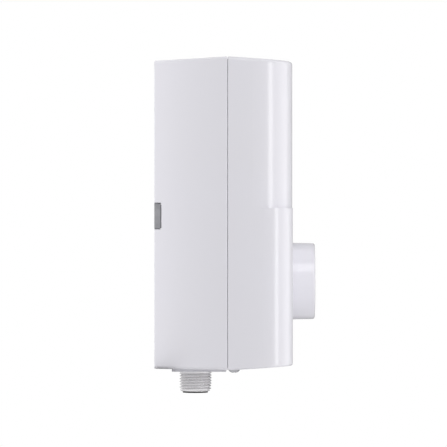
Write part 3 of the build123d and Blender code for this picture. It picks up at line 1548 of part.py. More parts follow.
cover_inside_depth = body_depth - wall
with BuildPart() as indicator_lens:
    with BuildSketch(Plane.XZ.offset(cover_inside_depth - lens_flange_thickness)):
        with Locations((0, lens_z)):
            Circle(lens_flange_radius)
    extrude(amount=lens_flange_thickness)
    with BuildSketch(Plane.XZ.offset(cover_inside_depth)):
        with Locations((0, lens_z)):
            Circle(lens_radius)
    extrude(amount=wall)
    fillet(indicator_lens.faces().sort_by(Axis.Y)[0].edges(), inner_corner_radius)
save(indicator_lens.part, "indicator_lens")

# Knob: hollow, with a boss for the shaft and a groove for the pointer
with BuildPart() as control_knob:
    with BuildSketch(Plane.XZ.offset(knob_base_depth)):
        with Locations((0, knob_z)):
            Circle(knob_radius)
    with BuildSketch(Plane.XZ.offset(knob_front_depth)):
        with Locations((0, knob_z)):
            Circle(knob_front_radius)
    loft()
    fillet(control_knob.faces().sort_by(Axis.Y)[0].edges(), knob_edge_radius)
    with BuildSketch(Plane.XZ.offset(knob_base_depth)):
        with Locations((0, knob_z)):
            Circle(knob_front_radius - knob_skin)
            Circle(knob_boss_radius, mode=Mode.SUBTRACT)
    extrude(amount=knob_proud - knob_gap - knob_skin, mode=Mode.SUBTRACT)
    with BuildSketch(Plane.XZ.offset(knob_base_depth)):
        with Locations((0, knob_z)):
            Circle(knob_boss_radius)
    extrude(amount=knob_boss_gap, mode=Mode.SUBTRACT)
    # Bore with a flat that matches the shaft
    with BuildSketch(Plane.XZ.offset(knob_base_depth)) as bore:
        with Locations((0, knob_z)):
            Circle(shaft_radius + shaft_fit)
        with Locations((0, knob_z - shaft_flat - shaft_fit - shaft_radius / 2)):
            Rectangle(3 * shaft_radius, shaft_radius, mode=Mode.SUBTRACT)
    extrude(amount=shaft_end_depth + shaft_fit - knob_base_depth, mode=Mode.SUBTRACT)
    with BuildSketch(Plane.XZ.offset(knob_front_depth)):
        with Locations((-(knob_front_radius - pointer_end_inset - pointer_length / 2), knob_z)):
            SlotOverall(pointer_length, pointer_width)
    extrude(amount=-pointer_thickness, mode=Mode.SUBTRACT)
save(control_knob.part, "control_knob")

with BuildPart() as knob_pointer:
    with BuildSketch(Plane.XZ.offset(knob_front_depth - pointer_thickness)):
        with Locations((-(knob_front_radius - pointer_end_inset - pointer_length / 2), knob_z)):
            SlotOverall(pointer_length - screw_fit, pointer_width - screw_fit)
    extrude(amount=pointer_thickness)
save(knob_pointer.part, "knob_pointer")

# Open ring of spring steel that grips the knob's boss
with BuildPart() as knob_clip:
    with BuildSketch(Plane.XZ.offset(clip_depth)):
        with Locations((0, knob_z)):
            Circle(clip_radius + clip_thickness)
            Circle(clip_radius, mode=Mode.SUBTRACT)
        with Locations((0, knob_z - clip_radius)):
            Rectangle(clip_radius, 4 * clip_thickness, mode=Mode.SUBTRACT)
    extrude(amount=clip_width)
save(knob_clip.part, "knob_clip")

with BuildPart() as shaft_seal:
    with BuildSketch(Plane.XZ.offset(cover_inside_depth - seal_flange_thickness)):
        with Locations((0, knob_z)):
            Circle(seal_flange_radius)
    extrude(amount=seal_flange_thickness)
    with BuildSketch(Plane.XZ.offset(cover_inside_depth)):
        with Locations((0, knob_z)):
            Circle(seal_body_radius)
    extrude(amount=wall)
    with BuildSketch(Plane.XZ.offset(cover_inside_depth - seal_flange_thickness)):
        with Locations((0, knob_z)):
            Circle(shaft_radius + seal_fit)
    extrude(amount=wall + seal_flange_thickness, mode=Mode.SUBTRACT)
save(shaft_seal.part, "shaft_seal")

# Wires, each from face to face along points set by hand, as X, Y and Z
spade_y = -spade_depth - spade_thickness / 2
left_spade_x = tank_x - cutout_body_radius - spade_length
right_spade_x = tank_x + cutout_body_radius + spade_length
reed_pin_z = reed_low_z + reed_height + reed_pin_length
reed_pin_y = -nipple_depth - flow_radius - reed_gap - reed_depth / 2
blade_end_x = tank_x - leg_offset - blade_length
blade_mid_z = blade_z + blade_thickness / 2
link_end_x = link_x - link_side - link_tail
link_mid_z = link_z + blade_thickness / 2
lug_end_x = stud_x - earth_lug_length
lug_mid_z = lid_top_z + earth_lug_thickness / 2
wire_start_z = block_high_z - wire_seat_length
wire_y = -wire_hole_depth
lead_end_y = -(lamp_back - lamp_collar_thickness - lamp_lead_length)
switch_top_z = knob_z + switch_size / 2
wires = {
    "live_wire": [
        (pole_xs[0], wire_y, wire_start_z),
        (-56, -20, 82),
        (-40, -34, 90),
        (-26, -58, 80),
        (-22, -72, 52),
        (-18, -74.4, 22),
        (-8, -74.4, 20),
        (left_spade_x, spade_y, cutout_z),
    ],
    "limiter_wire": [
        (right_spade_x, spade_y, cutout_z),
        (44, -74.4, 20),
        (50, -76, 8),
        (40, -78, -6),
        (12, -80, -22),
        (-12, -79, -20),
        (-28, -74, -22),
        (-38, -58, -28),
        (-42, -44, -36),
        (-42, -40.3, -47),
        (-nipple_x - reed_pin_width, reed_pin_y, reed_pin_z),
    ],
    "flow_wire": [
        (-nipple_x + reed_pin_width, reed_pin_y, reed_pin_z),
        (-38, -40.3, -48),
        (-33, -41, -41.5),
        (-21, -40, -41.5),
        (-13, -36, -47),
        (contact_xs[0], -34, contact_z),
        (contact_xs[0], -contact_end_depth, contact_z),
    ],
    "element_wire_1": [
        (contact_xs[1], -contact_end_depth, contact_z),
        (contact_xs[1], -36, contact_z),
        (-9, -34, -46),
        (-27, -36.5, -34),
        (-28, -36, 10),
        (-27, -34, 60),
        (-24, -34, 92),
        (-10, -34, blade_mid_z),
        (blade_end_x, -element_depths[0], blade_mid_z),
    ],
    "element_wire_2": [
        (contact_xs[2], -contact_end_depth, contact_z),
        (contact_xs[2], -34, contact_z),
        (-4, -37, -42),
        (-24, -44, -28),
        (-24, -50, 14),
        (-23, -52, 62),
        (-21, -50, 93),
        (-10, -50, blade_mid_z),
        (blade_end_x, -element_depths[1], blade_mid_z),
    ],
    "neutral_wire": [
        (pole_xs[1], wire_y, wire_start_z),
        (-46, -20, 76),
        (-36, -30, 86),
        (-22, -42, 91),
        (-6, -42, 93),
        (4, -42, 91),
        (11, -42, link_mid_z),
        (link_end_x, -tank_depth, link_mid_z),
    ],
    "earth_wire": [
        (pole_xs[2], wire_y, wire_start_z),
        (-36, -20, 74),
        (-30, -34, 80),
        (-24, -42, lug_mid_z),
        (lug_end_x, -tank_depth, lug_mid_z),
    ],
}
for name, route in wires.items():
    radii = bend_radii(route)
    with BuildPart() as wire:
        with BuildLine() as wire_path:
            FilletPolyline(*route, radius=radii)
        with BuildSketch(Plane(origin=wire_path.line @ 0, z_dir=wire_path.line % 0)):
            Circle(mains_wire_radius)
        sweep(path=wire_path.wire())
    save(wire.part, name)
    print(name, "bend radii", [round(radius, 1) for radius in radii])

lamp_routes = [
    [
        (side * lamp_lead_spacing / 2, lead_end_y, lens_z),
        (side * lamp_lead_spacing / 2, -65.3, lens_z),
        (side * 3, -65.3, -18.5),
        (side * 6, -61, -22.5),
        (side * 6, -61, switch_top_z),
    ]
    for side in (-1, 1)
]
with BuildPart() as lamp_wires:
    for route in lamp_routes:
        with BuildLine() as lamp_path:
            FilletPolyline(*route, radius=bend_radii(route))
        with BuildSketch(Plane(origin=lamp_path.line @ 0, z_dir=lamp_path.line % 0)):
            Circle(lamp_wire_radius)
        sweep(path=lamp_path.wire())
save(lamp_wires.part, "lamp_wires")
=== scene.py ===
import json
import math
import bpy
import numpy as np
from mathutils import Matrix, Vector


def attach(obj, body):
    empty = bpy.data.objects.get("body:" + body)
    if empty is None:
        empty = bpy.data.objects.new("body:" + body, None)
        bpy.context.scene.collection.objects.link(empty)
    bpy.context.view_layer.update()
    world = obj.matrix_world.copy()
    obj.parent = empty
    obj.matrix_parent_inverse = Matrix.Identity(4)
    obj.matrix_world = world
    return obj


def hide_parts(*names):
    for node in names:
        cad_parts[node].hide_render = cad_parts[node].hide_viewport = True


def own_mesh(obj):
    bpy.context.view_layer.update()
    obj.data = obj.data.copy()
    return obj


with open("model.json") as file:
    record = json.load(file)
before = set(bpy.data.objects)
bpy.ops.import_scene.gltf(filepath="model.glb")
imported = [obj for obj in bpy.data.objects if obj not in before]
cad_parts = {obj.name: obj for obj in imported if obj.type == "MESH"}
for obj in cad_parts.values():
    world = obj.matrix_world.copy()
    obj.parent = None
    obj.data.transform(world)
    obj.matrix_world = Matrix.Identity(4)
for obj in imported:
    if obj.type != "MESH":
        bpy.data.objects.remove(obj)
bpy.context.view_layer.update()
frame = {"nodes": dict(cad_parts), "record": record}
mm = 0.001
print("frame loaded,", len(frame["nodes"]), "CAD nodes")


# Mesh tools: every new piece is one or more grids of points worked out with numpy

def placed(name, data):
    # An object that holds the data, linked to the scene
    thing = bpy.data.objects.new(name, data)
    bpy.context.scene.collection.objects.link(thing)
    return thing


def fullTurn(steps):
    # Angles of one full turn in equal steps, the first of them zero
    return np.linspace(0, 2 * math.pi, steps, endpoint=False)


def gridQuads(rows, columns, wrapRows, wrapColumns):
    # Each point joins the next in its row and the two below; a wrapped side closes on itself
    i = np.arange(rows if wrapRows else rows - 1)[:, None]
    j = np.arange(columns if wrapColumns else columns - 1)[None, :]
    below, beside = (i + 1) % rows, (j + 1) % columns
    near, far = i * columns, below * columns
    return np.stack([near + j, near + beside, far + beside, far + j], axis=-1).reshape(-1, 4)


def signedVolume(points, faces):
    # Sum of the tetrahedra from the origin to each face; positive where the faces point outwards
    total = 0.0
    for a, b in ((1, 2), (2, 3)):
        corners = points[faces[:, 0]], points[faces[:, a]], points[faces[:, b]]
        total += np.einsum("ij,ij->i", corners[0], np.cross(corners[1], corners[2])).sum() / 6
    return total


def pieceFromGrids(name, grids, material, body="root", smooth=True):
    # Each grid is (points of rows x columns x 3 in metres, wrapRows, wrapColumns), a closed surface
    points, faces, start = [], [], 0
    for grid, wrapRows, wrapColumns in grids:
        rows, columns = grid.shape[:2]
        flat = grid.reshape(-1, 3)
        quads = gridQuads(rows, columns, wrapRows, wrapColumns)
        if not wrapRows:
            # Each open end gets a fan to its middle, written as quads that name one corner twice
            middles = flat[:columns].mean(0), flat[-columns:].mean(0)
            flat = np.concatenate([flat, np.stack(middles)])
            j = np.arange(columns)
            k = (j + 1) % columns
            low, high = np.full(columns, rows * columns), np.full(columns, rows * columns + 1)
            last = (rows - 1) * columns
            fans = [np.stack([k, j, low, low], 1), np.stack([last + j, last + k, high, high], 1)]
            quads = np.concatenate([quads] + fans)
        if signedVolume(flat, quads) < 0:
            quads = quads[:, ::-1]
        points.append(flat)
        faces.append(quads + start)
        start += len(flat)
    points, faces = np.concatenate(points), np.concatenate(faces)
    corners = [list(dict.fromkeys(face)) for face in faces.tolist()]
    mesh = bpy.data.meshes.new(name)
    mesh.from_pydata(points.tolist(), [], corners)
    mesh.polygons.foreach_set("use_smooth", np.full(len(corners), smooth))
    mesh.update()
    piece = placed(name, mesh)
    mesh.materials.append(material)
    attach(piece, body)
    return piece


def lathe(profile, centre, steps):
    # Each (radius, height) pair turned about +Z: x is radius times cosine, y is radius times sine
    profile = np.array(profile, float)
    angle = fullTurn(steps)[None, :]
    radius, height = profile[:, :1], profile[:, 1:]
    x = centre[0] + radius * np.cos(angle)
    y = centre[1] + radius * np.sin(angle)
    z = centre[2] + height + 0 * angle
    return np.stack([x, y, z], axis=-1) * mm


def tubeAlong(path, radius, sides):
    # Circle along a path: point plus radius times (cosine times across plus sine times other)
    path = np.asarray(path, float)
    along = np.gradient(path, axis=0)
    along /= np.linalg.norm(along, axis=1, keepdims=True)
    steepShare = 0.9
    steep = abs(along[:, 2]).max() >= steepShare
    helper = np.array([0.0, 1.0, 0.0] if steep else [0.0, 0.0, 1.0])
    across = np.cross(along, helper)
    across /= np.linalg.norm(across, axis=1, keepdims=True)
    other = np.cross(along, across)
    angle = fullTurn(sides)[None, :, None]
    ring = np.cos(angle) * across[:, None] + np.sin(angle) * other[:, None]
    return (path[:, None] + radius * ring) * mm


# Materials: each finish reads Object coordinates, which are metres in the part's own frame

def newFinish(name):
    # A Principled shader, and the position divided by a millimetre for the patterns
    material = bpy.data.materials.new(name)
    material.use_nodes = True
    tree = material.node_tree
    shader = tree.nodes["Principled BSDF"]
    place = tree.nodes.new("ShaderNodeTexCoord")
    perMm = tree.nodes.new("ShaderNodeMapping")
    perMm.inputs["Scale"].default_value = (1 / mm, 1 / mm, 1 / mm)
    tree.links.new(place.outputs["Object"], perMm.inputs["Vector"])
    return material, tree, shader, perMm.outputs["Vector"]


def noiseField(tree, vector, scale, detail=3.0, roughness=0.5, stretch=None):
    # Noise with scale blotches in a millimetre, drawn out along the axes whose stretch is small
    if stretch:
        mapping = tree.nodes.new("ShaderNodeMapping")
        mapping.inputs["Scale"].default_value = stretch
        tree.links.new(vector, mapping.inputs["Vector"])
        vector = mapping.outputs["Vector"]
    noise = tree.nodes.new("ShaderNodeTexNoise")
    noise.inputs["Scale"].default_value = scale
    noise.inputs["Detail"].default_value = detail
    noise.inputs["Roughness"].default_value = roughness
    tree.links.new(vector, noise.inputs["Vector"])
    return noise.outputs["Fac"]


def ranged(tree, value, low, high, fromLow=0.3, fromHigh=0.7):
    # Straight-line map of a pattern from fromLow..fromHigh onto low..high
    node = tree.nodes.new("ShaderNodeMapRange")
    node.inputs["From Min"].default_value = fromLow
    node.inputs["From Max"].default_value = fromHigh
    node.inputs["To Min"].default_value = low
    node.inputs["To Max"].default_value = high
    tree.links.new(value, node.inputs["Value"])
    return node.outputs["Result"]


def tinted(tree, value, first, second):
    # Colour that goes from first to second with the pattern
    node = tree.nodes.new("ShaderNodeMix")
    node.data_type = "RGBA"
    node.inputs["A"].default_value = (*first, 1)
    node.inputs["B"].default_value = (*second, 1)
    tree.links.new(value, node.inputs["Factor"])
    return node.outputs["Result"]


def coloured(tree, shader, value, first, second):
    # The shader's colour goes from first to second with the pattern
    tree.links.new(tinted(tree, value, first, second), shader.inputs["Base Color"])


def glossed(tree, shader, value, roughness, smoother, rougher, fromLow=0.3, fromHigh=0.7):
    # The shader's roughness goes from its smoother to its rougher share with the pattern
    out = ranged(tree, value, roughness * smoother, roughness * rougher, fromLow, fromHigh)
    tree.links.new(out, shader.inputs["Roughness"])


def relief(tree, shader, layers):
    # Bump layers stacked one on the other: (pattern, height in mm)
    normal = None
    for value, height in layers:
        bump = tree.nodes.new("ShaderNodeBump")
        bump.inputs["Strength"].default_value = 1.0
        bump.inputs["Distance"].default_value = height * mm
        tree.links.new(value, bump.inputs["Height"])
        if normal:
            tree.links.new(normal, bump.inputs["Normal"])
        normal = bump.outputs["Normal"]
    tree.links.new(normal, shader.inputs["Normal"])


def glossyMoulding(name, colour, warmth, roughness, peel):
    # White injection moulding: slow drift of tint, faint orange peel and a fine grain in the gloss
    material, tree, shader, at = newFinish(name)
    drift = ranged(tree, noiseField(tree, at, scale=0.02, detail=2), low=0, high=1)
    coloured(tree, shader, drift, colour, tuple(c * w for c, w in zip(colour, warmth)))
    grain = noiseField(tree, at, scale=1.6, detail=4)
    glossed(tree, shader, grain, roughness, smoother=0.88, rougher=1.12)
    grainShare = 0.15
    peelField = noiseField(tree, at, scale=0.35, detail=2)
    relief(tree, shader, [(peelField, peel), (grain, peel * grainShare)])
    return material


def satinPlating(name, colour, dull, roughness, lines, scratches):
    # Plated metal: fine turned or drawn lines, blotches of tarnish and a few scratches in the gloss
    material, tree, shader, at = newFinish(name)
    shader.inputs["Metallic"].default_value = 1.0
    tarnish = noiseField(tree, at, scale=0.25, detail=5, roughness=0.6)
    coloured(tree, shader, ranged(tree, tarnish, low=0, high=1), colour, dull)
    drawn = noiseField(tree, at, scale=1.0, detail=3, roughness=0.55, stretch=lines)
    scratch = noiseField(tree, at, scale=1.4, detail=5, roughness=0.7)
    glossed(tree, shader, scratch, roughness, smoother=0.8, rougher=1.25)
    scratchShare = 0.4
    relief(tree, shader, [(drawn, scratches), (scratch, scratches * scratchShare)])
    return material


def threadPlating(name, colour, dull, roughness, sizes):
    # Plating whose colour is multiplied by rootShade at the root, up to 1 over shadeSpan: painted
    # shade in the grooves
    material = satinPlating(name, colour, dull, roughness, lines=(0.4, 0.4, 2), scratches=0.0012)
    tree = material.node_tree
    shader = tree.nodes["Principled BSDF"]
    place = tree.nodes.new("ShaderNodeTexCoord")
    apart = tree.nodes.new("ShaderNodeSeparateXYZ")
    tree.links.new(place.outputs["Object"], apart.inputs["Vector"])
    sideways = tree.nodes.new("ShaderNodeMath")
    sideways.operation = "ABSOLUTE"
    tree.links.new(apart.outputs["X"], sideways.inputs[0])
    flat = tree.nodes.new("ShaderNodeCombineXYZ")
    tree.links.new(sideways.outputs["Value"], flat.inputs["X"])
    tree.links.new(apart.outputs["Y"], flat.inputs["Y"])
    away = tree.nodes.new("ShaderNodeVectorMath")
    away.operation = "DISTANCE"
    away.inputs[1].default_value = (sizes["spread"] * mm, -sizes["depth"] * mm, 0)
    tree.links.new(flat.outputs["Vector"], away.inputs[0])
    root = sizes["crest"] - sizes["threadDepth"]
    share = ranged(tree, away.outputs["Value"], low=sizes["rootShade"], high=1,
                   fromLow=root * mm, fromHigh=(root + sizes["shadeSpan"]) * mm)
    base = shader.inputs["Base Color"].links[0].from_socket
    shaded = tree.nodes.new("ShaderNodeMix")
    shaded.data_type = "RGBA"
    shaded.blend_type = "MULTIPLY"
    shaded.inputs["Factor"].default_value = 1.0
    tree.links.new(base, shaded.inputs["A"])
    tree.links.new(share, shaded.inputs["B"])
    tree.links.new(shaded.outputs["Result"], shader.inputs["Base Color"])
    return material


def sheetZinc(name, colour, dull, roughness):
    # Zinc-coated sheet: crystal spangle of slightly different greys, rolled lines and light scuffs
    material, tree, shader, at = newFinish(name)
    shader.inputs["Metallic"].default_value = 0.85
    cells = tree.nodes.new("ShaderNodeTexVoronoi")
    cells.inputs["Scale"].default_value = 0.22
    tree.links.new(at, cells.inputs["Vector"])
    bright = tree.nodes.new("ShaderNodeSeparateColor")
    tree.links.new(cells.outputs["Color"], bright.inputs["Color"])
    coloured(tree, shader, bright.outputs["Red"], colour, dull)
    rolled = noiseField(tree, at, scale=1.0, detail=3, roughness=0.5, stretch=(0.08, 1.0, 3.0))
    glossed(tree, shader, rolled, roughness, smoother=0.85, rougher=1.15)
    relief(tree, shader, [(rolled, 0.006), (bright.outputs["Green"], 0.003)])
    return material


def softRubber(name, colour, bloom, roughness):
    # Moulded rubber: dusty bloom in blotches over a fine pitted skin
    material, tree, shader, at = newFinish(name)
    blotches = noiseField(tree, at, scale=0.5, detail=5, roughness=0.6)
    dust = ranged(tree, blotches, low=0, high=1, fromLow=0.45, fromHigh=0.75)
    coloured(tree, shader, dust, colour, bloom)
    shader.inputs["Specular IOR Level"].default_value = 0.3
    pits = noiseField(tree, at, scale=6.0, detail=3)
    glossed(tree, shader, dust, roughness, smoother=1, rougher=1.2, fromLow=0, fromHigh=1)
    relief(tree, shader, [(pits, 0.012)])
    return material


def mattMoulding(name, colour, shade, roughness, grain):
    # Technical plastic: flow marks in the tint and a spark-eroded grain
    material, tree, shader, at = newFinish(name)
    flow = noiseField(tree, at, scale=0.12, detail=3, stretch=(1, 1, 0.3))
    coloured(tree, shader, ranged(tree, flow, low=0, high=1), colour, shade)
    eroded = noiseField(tree, at, scale=4.0, detail=3)
    glossed(tree, shader, eroded, roughness, smoother=0.9, rougher=1.1)
    relief(tree, shader, [(eroded, grain)])
    return material


def clearPlastic(name, colour, deep, roughness, through):
    # Tinted light window: colour a little deeper in streaks, faint moulding waves
    material, tree, shader, at = newFinish(name)
    shader.inputs["Transmission Weight"].default_value = through
    shader.inputs["IOR"].default_value = 1.49
    streak = ranged(tree, noiseField(tree, at, scale=0.3, detail=2), low=0, high=1)
    coloured(tree, shader, streak, colour, deep)
    glossed(tree, shader, streak, roughness, smoother=1, rougher=1.5, fromLow=0, fromHigh=1)
    relief(tree, shader, [(noiseField(tree, at, scale=0.8, detail=2), 0.004)])
    return material


def wireCoat(name, colour, shade, stripe=None):
    # Extruded insulation: soft sheen and fine streaks, and a second colour in bands for the earth
    material, tree, shader, at = newFinish(name)
    streak = ranged(tree, noiseField(tree, at, scale=1.5, detail=3), low=0, high=1)
    colourOut = tinted(tree, streak, colour, shade)
    if stripe:
        wave = tree.nodes.new("ShaderNodeTexWave")
        wave.inputs["Scale"].default_value = 0.09
        wave.inputs["Distortion"].default_value = 0.6
        tree.links.new(at, wave.inputs["Vector"])
        bands = ranged(tree, wave.outputs["Fac"], low=0, high=1, fromLow=0.48, fromHigh=0.52)
        node = tree.nodes.new("ShaderNodeMix")
        node.data_type = "RGBA"
        node.inputs["B"].default_value = (*stripe, 1)
        tree.links.new(bands, node.inputs["Factor"])
        tree.links.new(colourOut, node.inputs["A"])
        colourOut = node.outputs["Result"]
    tree.links.new(colourOut, shader.inputs["Base Color"])
    sheen = ranged(tree, streak, low=0.32, high=0.42, fromLow=0, fromHigh=1)
    tree.links.new(sheen, shader.inputs["Roughness"])
    relief(tree, shader, [(noiseField(tree, at, scale=3.0, detail=2), 0.008)])
    return material


# The water connections' sizes stand here because the painted shade in their plating reads them too
connection = {
    "spread": 40.0, "depth": 26.5, "steps": 144,
    "endZ": -116.5, "padZ": -103.0, "crest": 10.4775, "threadDepth": 1.162, "pitch": 1.814,
    "threadStart": 0.3, "threadStep": 0.1, "fade": 0.9, "collar": 0.7,
    "bore": 7.0, "mouth": 0.5, "chamfer": 1.5, "chamferWidth": 1.25,
    "shank": 10.25, "shankStep": 0.05, "flangeLow": -95.5, "flangeTop": -92.5, "flangeSeam": 0.02,
    "flange": 14.0, "edge": 0.2, "neck": 9.0, "neckTop": -84.0, "bevel": 0.3,
    # rootShade and shadeSpan set the painted shade that darkens the thread's grooves
    "rootShade": 0.76, "shadeSpan": 0.8,
}

finishes = {
    "white_casing": glossyMoulding("casingWhite", (0.842, 0.833, 0.89), (1.0, 0.997, 0.99),
                                   roughness=0.19, peel=0.006),
    "white_knob": glossyMoulding("knobWhite", (0.857, 0.848, 0.905), (1.0, 0.998, 0.99),
                                 roughness=0.1, peel=0.0012),
    "pointer_grey": mattMoulding("pointerInlay", (0.16, 0.18, 0.22), (0.14, 0.16, 0.2),
                                 roughness=0.42, grain=0.004),
    "lens_red": clearPlastic("lightWindow", (0.75, 0.05, 0.03), (0.6, 0.03, 0.02),
                             roughness=0.12, through=0.55),
    "lamp_glass": clearPlastic("neonGlass", (0.95, 0.78, 0.6), (0.9, 0.7, 0.5),
                               roughness=0.06, through=0.8),
    "black_rubber": softRubber("blackRubber", (0.007, 0.007, 0.008), (0.014, 0.014, 0.015),
                               roughness=0.6),
    "zinc_steel": sheetZinc("bracketZinc", (0.34, 0.34, 0.36), (0.29, 0.29, 0.31), roughness=0.46),
    "nickel_brass": threadPlating("connectionNickelPaintedShade", (0.93, 0.92, 0.935), (0.89, 0.88, 0.895),
                                  roughness=0.48, sizes=connection),
    "bare_brass": satinPlating("turnedBrass", (0.72, 0.52, 0.24), (0.58, 0.4, 0.17),
                               roughness=0.32, lines=(1, 1, 6), scratches=0.006),
    "copper": satinPlating("drawnCopper", (0.72, 0.36, 0.22), (0.5, 0.24, 0.15),
                           roughness=0.34, lines=(0.2, 0.2, 0.2), scratches=0.005),
    "element_sheath": satinPlating("elementSheath", (0.42, 0.4, 0.38), (0.3, 0.27, 0.25),
                                   roughness=0.4, lines=(3, 3, 0.2), scratches=0.005),
    "screw_steel": satinPlating("screwZinc", (0.47, 0.47, 0.49), (0.37, 0.37, 0.4),
                                roughness=0.22, lines=(1, 1, 5), scratches=0.004),
    "piston_plastic": mattMoulding("naturalAcetal", (0.78, 0.77, 0.68), (0.72, 0.71, 0.62),
                                   roughness=0.4, grain=0.004),
    "black_plastic": mattMoulding("blackPhenolic", (0.02, 0.02, 0.022), (0.03, 0.03, 0.032),
                                  roughness=0.5, grain=0.01),
    "button_red": mattMoulding("resetRed", (0.62, 0.03, 0.02), (0.5, 0.02, 0.015),
                               roughness=0.35, grain=0.004),
    "block_white": mattMoulding("polyamideWhite", (0.76, 0.76, 0.72), (0.7, 0.7, 0.66),
                                roughness=0.45, grain=0.008),
    "wire_brown": wireCoat("wireBrown", (0.16, 0.065, 0.03), (0.12, 0.05, 0.022)),
    "wire_black": wireCoat("wireBlack", (0.02, 0.02, 0.02), (0.03, 0.03, 0.03)),
    "wire_blue": wireCoat("wireBlue", (0.05, 0.14, 0.45), (0.04, 0.11, 0.38)),
    "wire_green": wireCoat("wireEarth", (0.08, 0.3, 0.06), (0.06, 0.25, 0.05),
                           stripe=(0.75, 0.6, 0.05)),
    "wire_white": wireCoat("wireWhite", (0.78, 0.78, 0.75), (0.7, 0.7, 0.67)),
}
slotOf = {part["node"]: part["material_slot"] for part in frame["record"]["subparts"]}
for nodeName, node in frame["nodes"].items():
    for slot in node.material_slots:
        slot.material = finishes[slotOf[nodeName]]
print("finishes on", len(frame["nodes"]), "nodes")


# Water connections: turned brass nipples with a true right-hand helix

def threadedConnection(name, side, cadNode):
    # The radius is the crest less the thread's depth times the squared sine of pi times (height
    # over pitch less the share of a turn), faded out at the collar and kept under the end's cone
    c = connection
    edge, bevel, step = c["edge"], c["bevel"], c["shankStep"]
    threadZ = np.arange(c["endZ"] + c["threadStart"], c["padZ"] - step, c["threadStep"])
    up = [(c["bore"] + c["mouth"], c["endZ"]), (c["crest"] - c["chamferWidth"] - edge, c["endZ"])]
    up += [(c["crest"], z) for z in threadZ]
    hidden = [
        (c["crest"], c["padZ"]), (c["shank"], c["padZ"] + step),
        (c["shank"], c["flangeLow"] - c["flangeSeam"]), (c["flange"] - edge, c["flangeLow"]),
        (c["flange"], c["flangeLow"] + edge), (c["flange"], c["flangeTop"] - edge),
        (c["flange"] - edge, c["flangeTop"]), (c["neck"], c["flangeTop"] + step),
        (c["neck"], c["neckTop"] - bevel), (c["neck"] - bevel, c["neckTop"]),
        (c["bore"] + bevel, c["neckTop"]), (c["bore"], c["neckTop"] - bevel),
        (c["bore"], c["endZ"] + c["mouth"]),
    ]
    grid = lathe(up + hidden, (0, 0, 0), c["steps"]) / mm
    threadRows = slice(len(up) - len(threadZ), len(up))
    angle = fullTurn(c["steps"])[None, :]
    z = threadZ[:, None]
    groove = np.sin(math.pi * (z / c["pitch"] - angle / (2 * math.pi))) ** 2
    fade = np.clip((c["padZ"] - c["collar"] - z) / c["fade"], 0, 1)
    radius = c["crest"] - c["threadDepth"] * groove * fade
    cone = c["crest"] - c["chamferWidth"] * np.clip(1 - (z - c["endZ"]) / c["chamfer"], 0, 1)
    radius = np.minimum(radius, cone)
    grid[threadRows, :, 0] = radius * np.cos(angle)
    grid[threadRows, :, 1] = radius * np.sin(angle)
    grid += np.array([side * c["spread"], -c["depth"], 0.0])
    piece = pieceFromGrids(name, [(grid * mm, True, True)], finishes["nickel_brass"])
    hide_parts(cadNode)


threadedConnection("inletConnection", -1, "inlet_nipple")
threadedConnection("outletConnection", 1, "outlet_nipple")
print("connections threaded")


# Inlet strainer: rubber lip with a woven net across it

strainer = {
    "lip": 8.3, "lipBore": 5.9, "lipZ": -117.45, "seatZ": -116.5, "steps": 96,
    "mouthBevel": 0.3, "lipRound": 0.14, "lipCorner": 0.04, "seatCorner": 0.06, "seatStep": 0.02,
    "sleeve": 6.8, "wall": 0.9, "length": 3.2, "sleeveBevel": 0.2, "innerBevel": 0.1,
    "wire": 0.14, "mesh": 0.78, "netZ": -113.9, "netRadius": 6.2,
    "wireShare": 0.9, "wireSides": 6, "stepsPerMesh": 8, "leastMeshes": 2,
}


def strainerLip():
    # Closed profile turned about the inlet's axis: lip outside the mouth, sleeve inside it
    s = strainer
    lip, lipZ, seatZ, sleeve = s["lip"], s["lipZ"], s["seatZ"], s["sleeve"]
    inner = sleeve - s["wall"]
    top = seatZ + s["length"]
    profile = [
        (s["lipBore"] + s["mouthBevel"], lipZ), (lip - s["lipRound"], lipZ),
        (lip - s["lipCorner"], lipZ + s["lipCorner"]), (lip, lipZ + s["lipRound"]),
        (lip, seatZ - s["seatCorner"]), (lip - s["seatCorner"], seatZ),
        (sleeve, seatZ + s["seatStep"]), (sleeve, top - s["sleeveBevel"]),
        (sleeve - s["sleeveBevel"], top), (inner + s["innerBevel"], top),
        (inner, top - s["innerBevel"]), (inner, seatZ), (s["lipBore"], lipZ + s["mouthBevel"]),
    ]
    grid = lathe(profile, (-connection["spread"], -connection["depth"], 0), s["steps"])
    piece = pieceFromGrids("strainerLip", [(grid, True, True)], finishes["black_rubber"])
    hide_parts("inlet_strainer")


def strainerNet():
    # Wires one mesh apart that weave: height is the wire's radius times the cosine of pi times the
    # length run over the mesh, with the sign turned from wire to wire
    s = strainer
    middle = np.array([-connection["spread"], -connection["depth"], s["netZ"]])
    grids = []
    count = int(s["netRadius"] / s["mesh"])
    for number in range(-count, count + 1):
        offset = number * s["mesh"]
        reach = math.sqrt(s["netRadius"] ** 2 - offset ** 2)
        if reach < s["leastMeshes"] * s["mesh"]:
            continue
        t = np.linspace(-reach, reach, int(reach / s["mesh"] * s["stepsPerMesh"]))
        wave = s["wire"] * np.cos(math.pi * t / s["mesh"]) * (1 if number % 2 else -1)
        flat = np.full_like(t, offset)
        for path in (np.stack([t, flat, wave], 1), np.stack([flat, t, -wave], 1)):
            wire = tubeAlong(path + middle, s["wire"] * s["wireShare"], s["wireSides"])
            grids.append((wire, False, True))
    piece = pieceFromGrids("strainerNet", grids, finishes["screw_steel"])


strainerLip()
strainerNet()
print("strainer woven")


# Flow spring: a coil between the piston and the cap, which in the heater shortens as the piston
# rises

flowSpring = {
    "radius": 5.6, "wire": 0.45, "turns": 6, "lowZ": -80.95, "highZ": -58.55, "fixedZ": -58.0,
    "travel": 4.0, "steps": 289, "sides": 12,
}


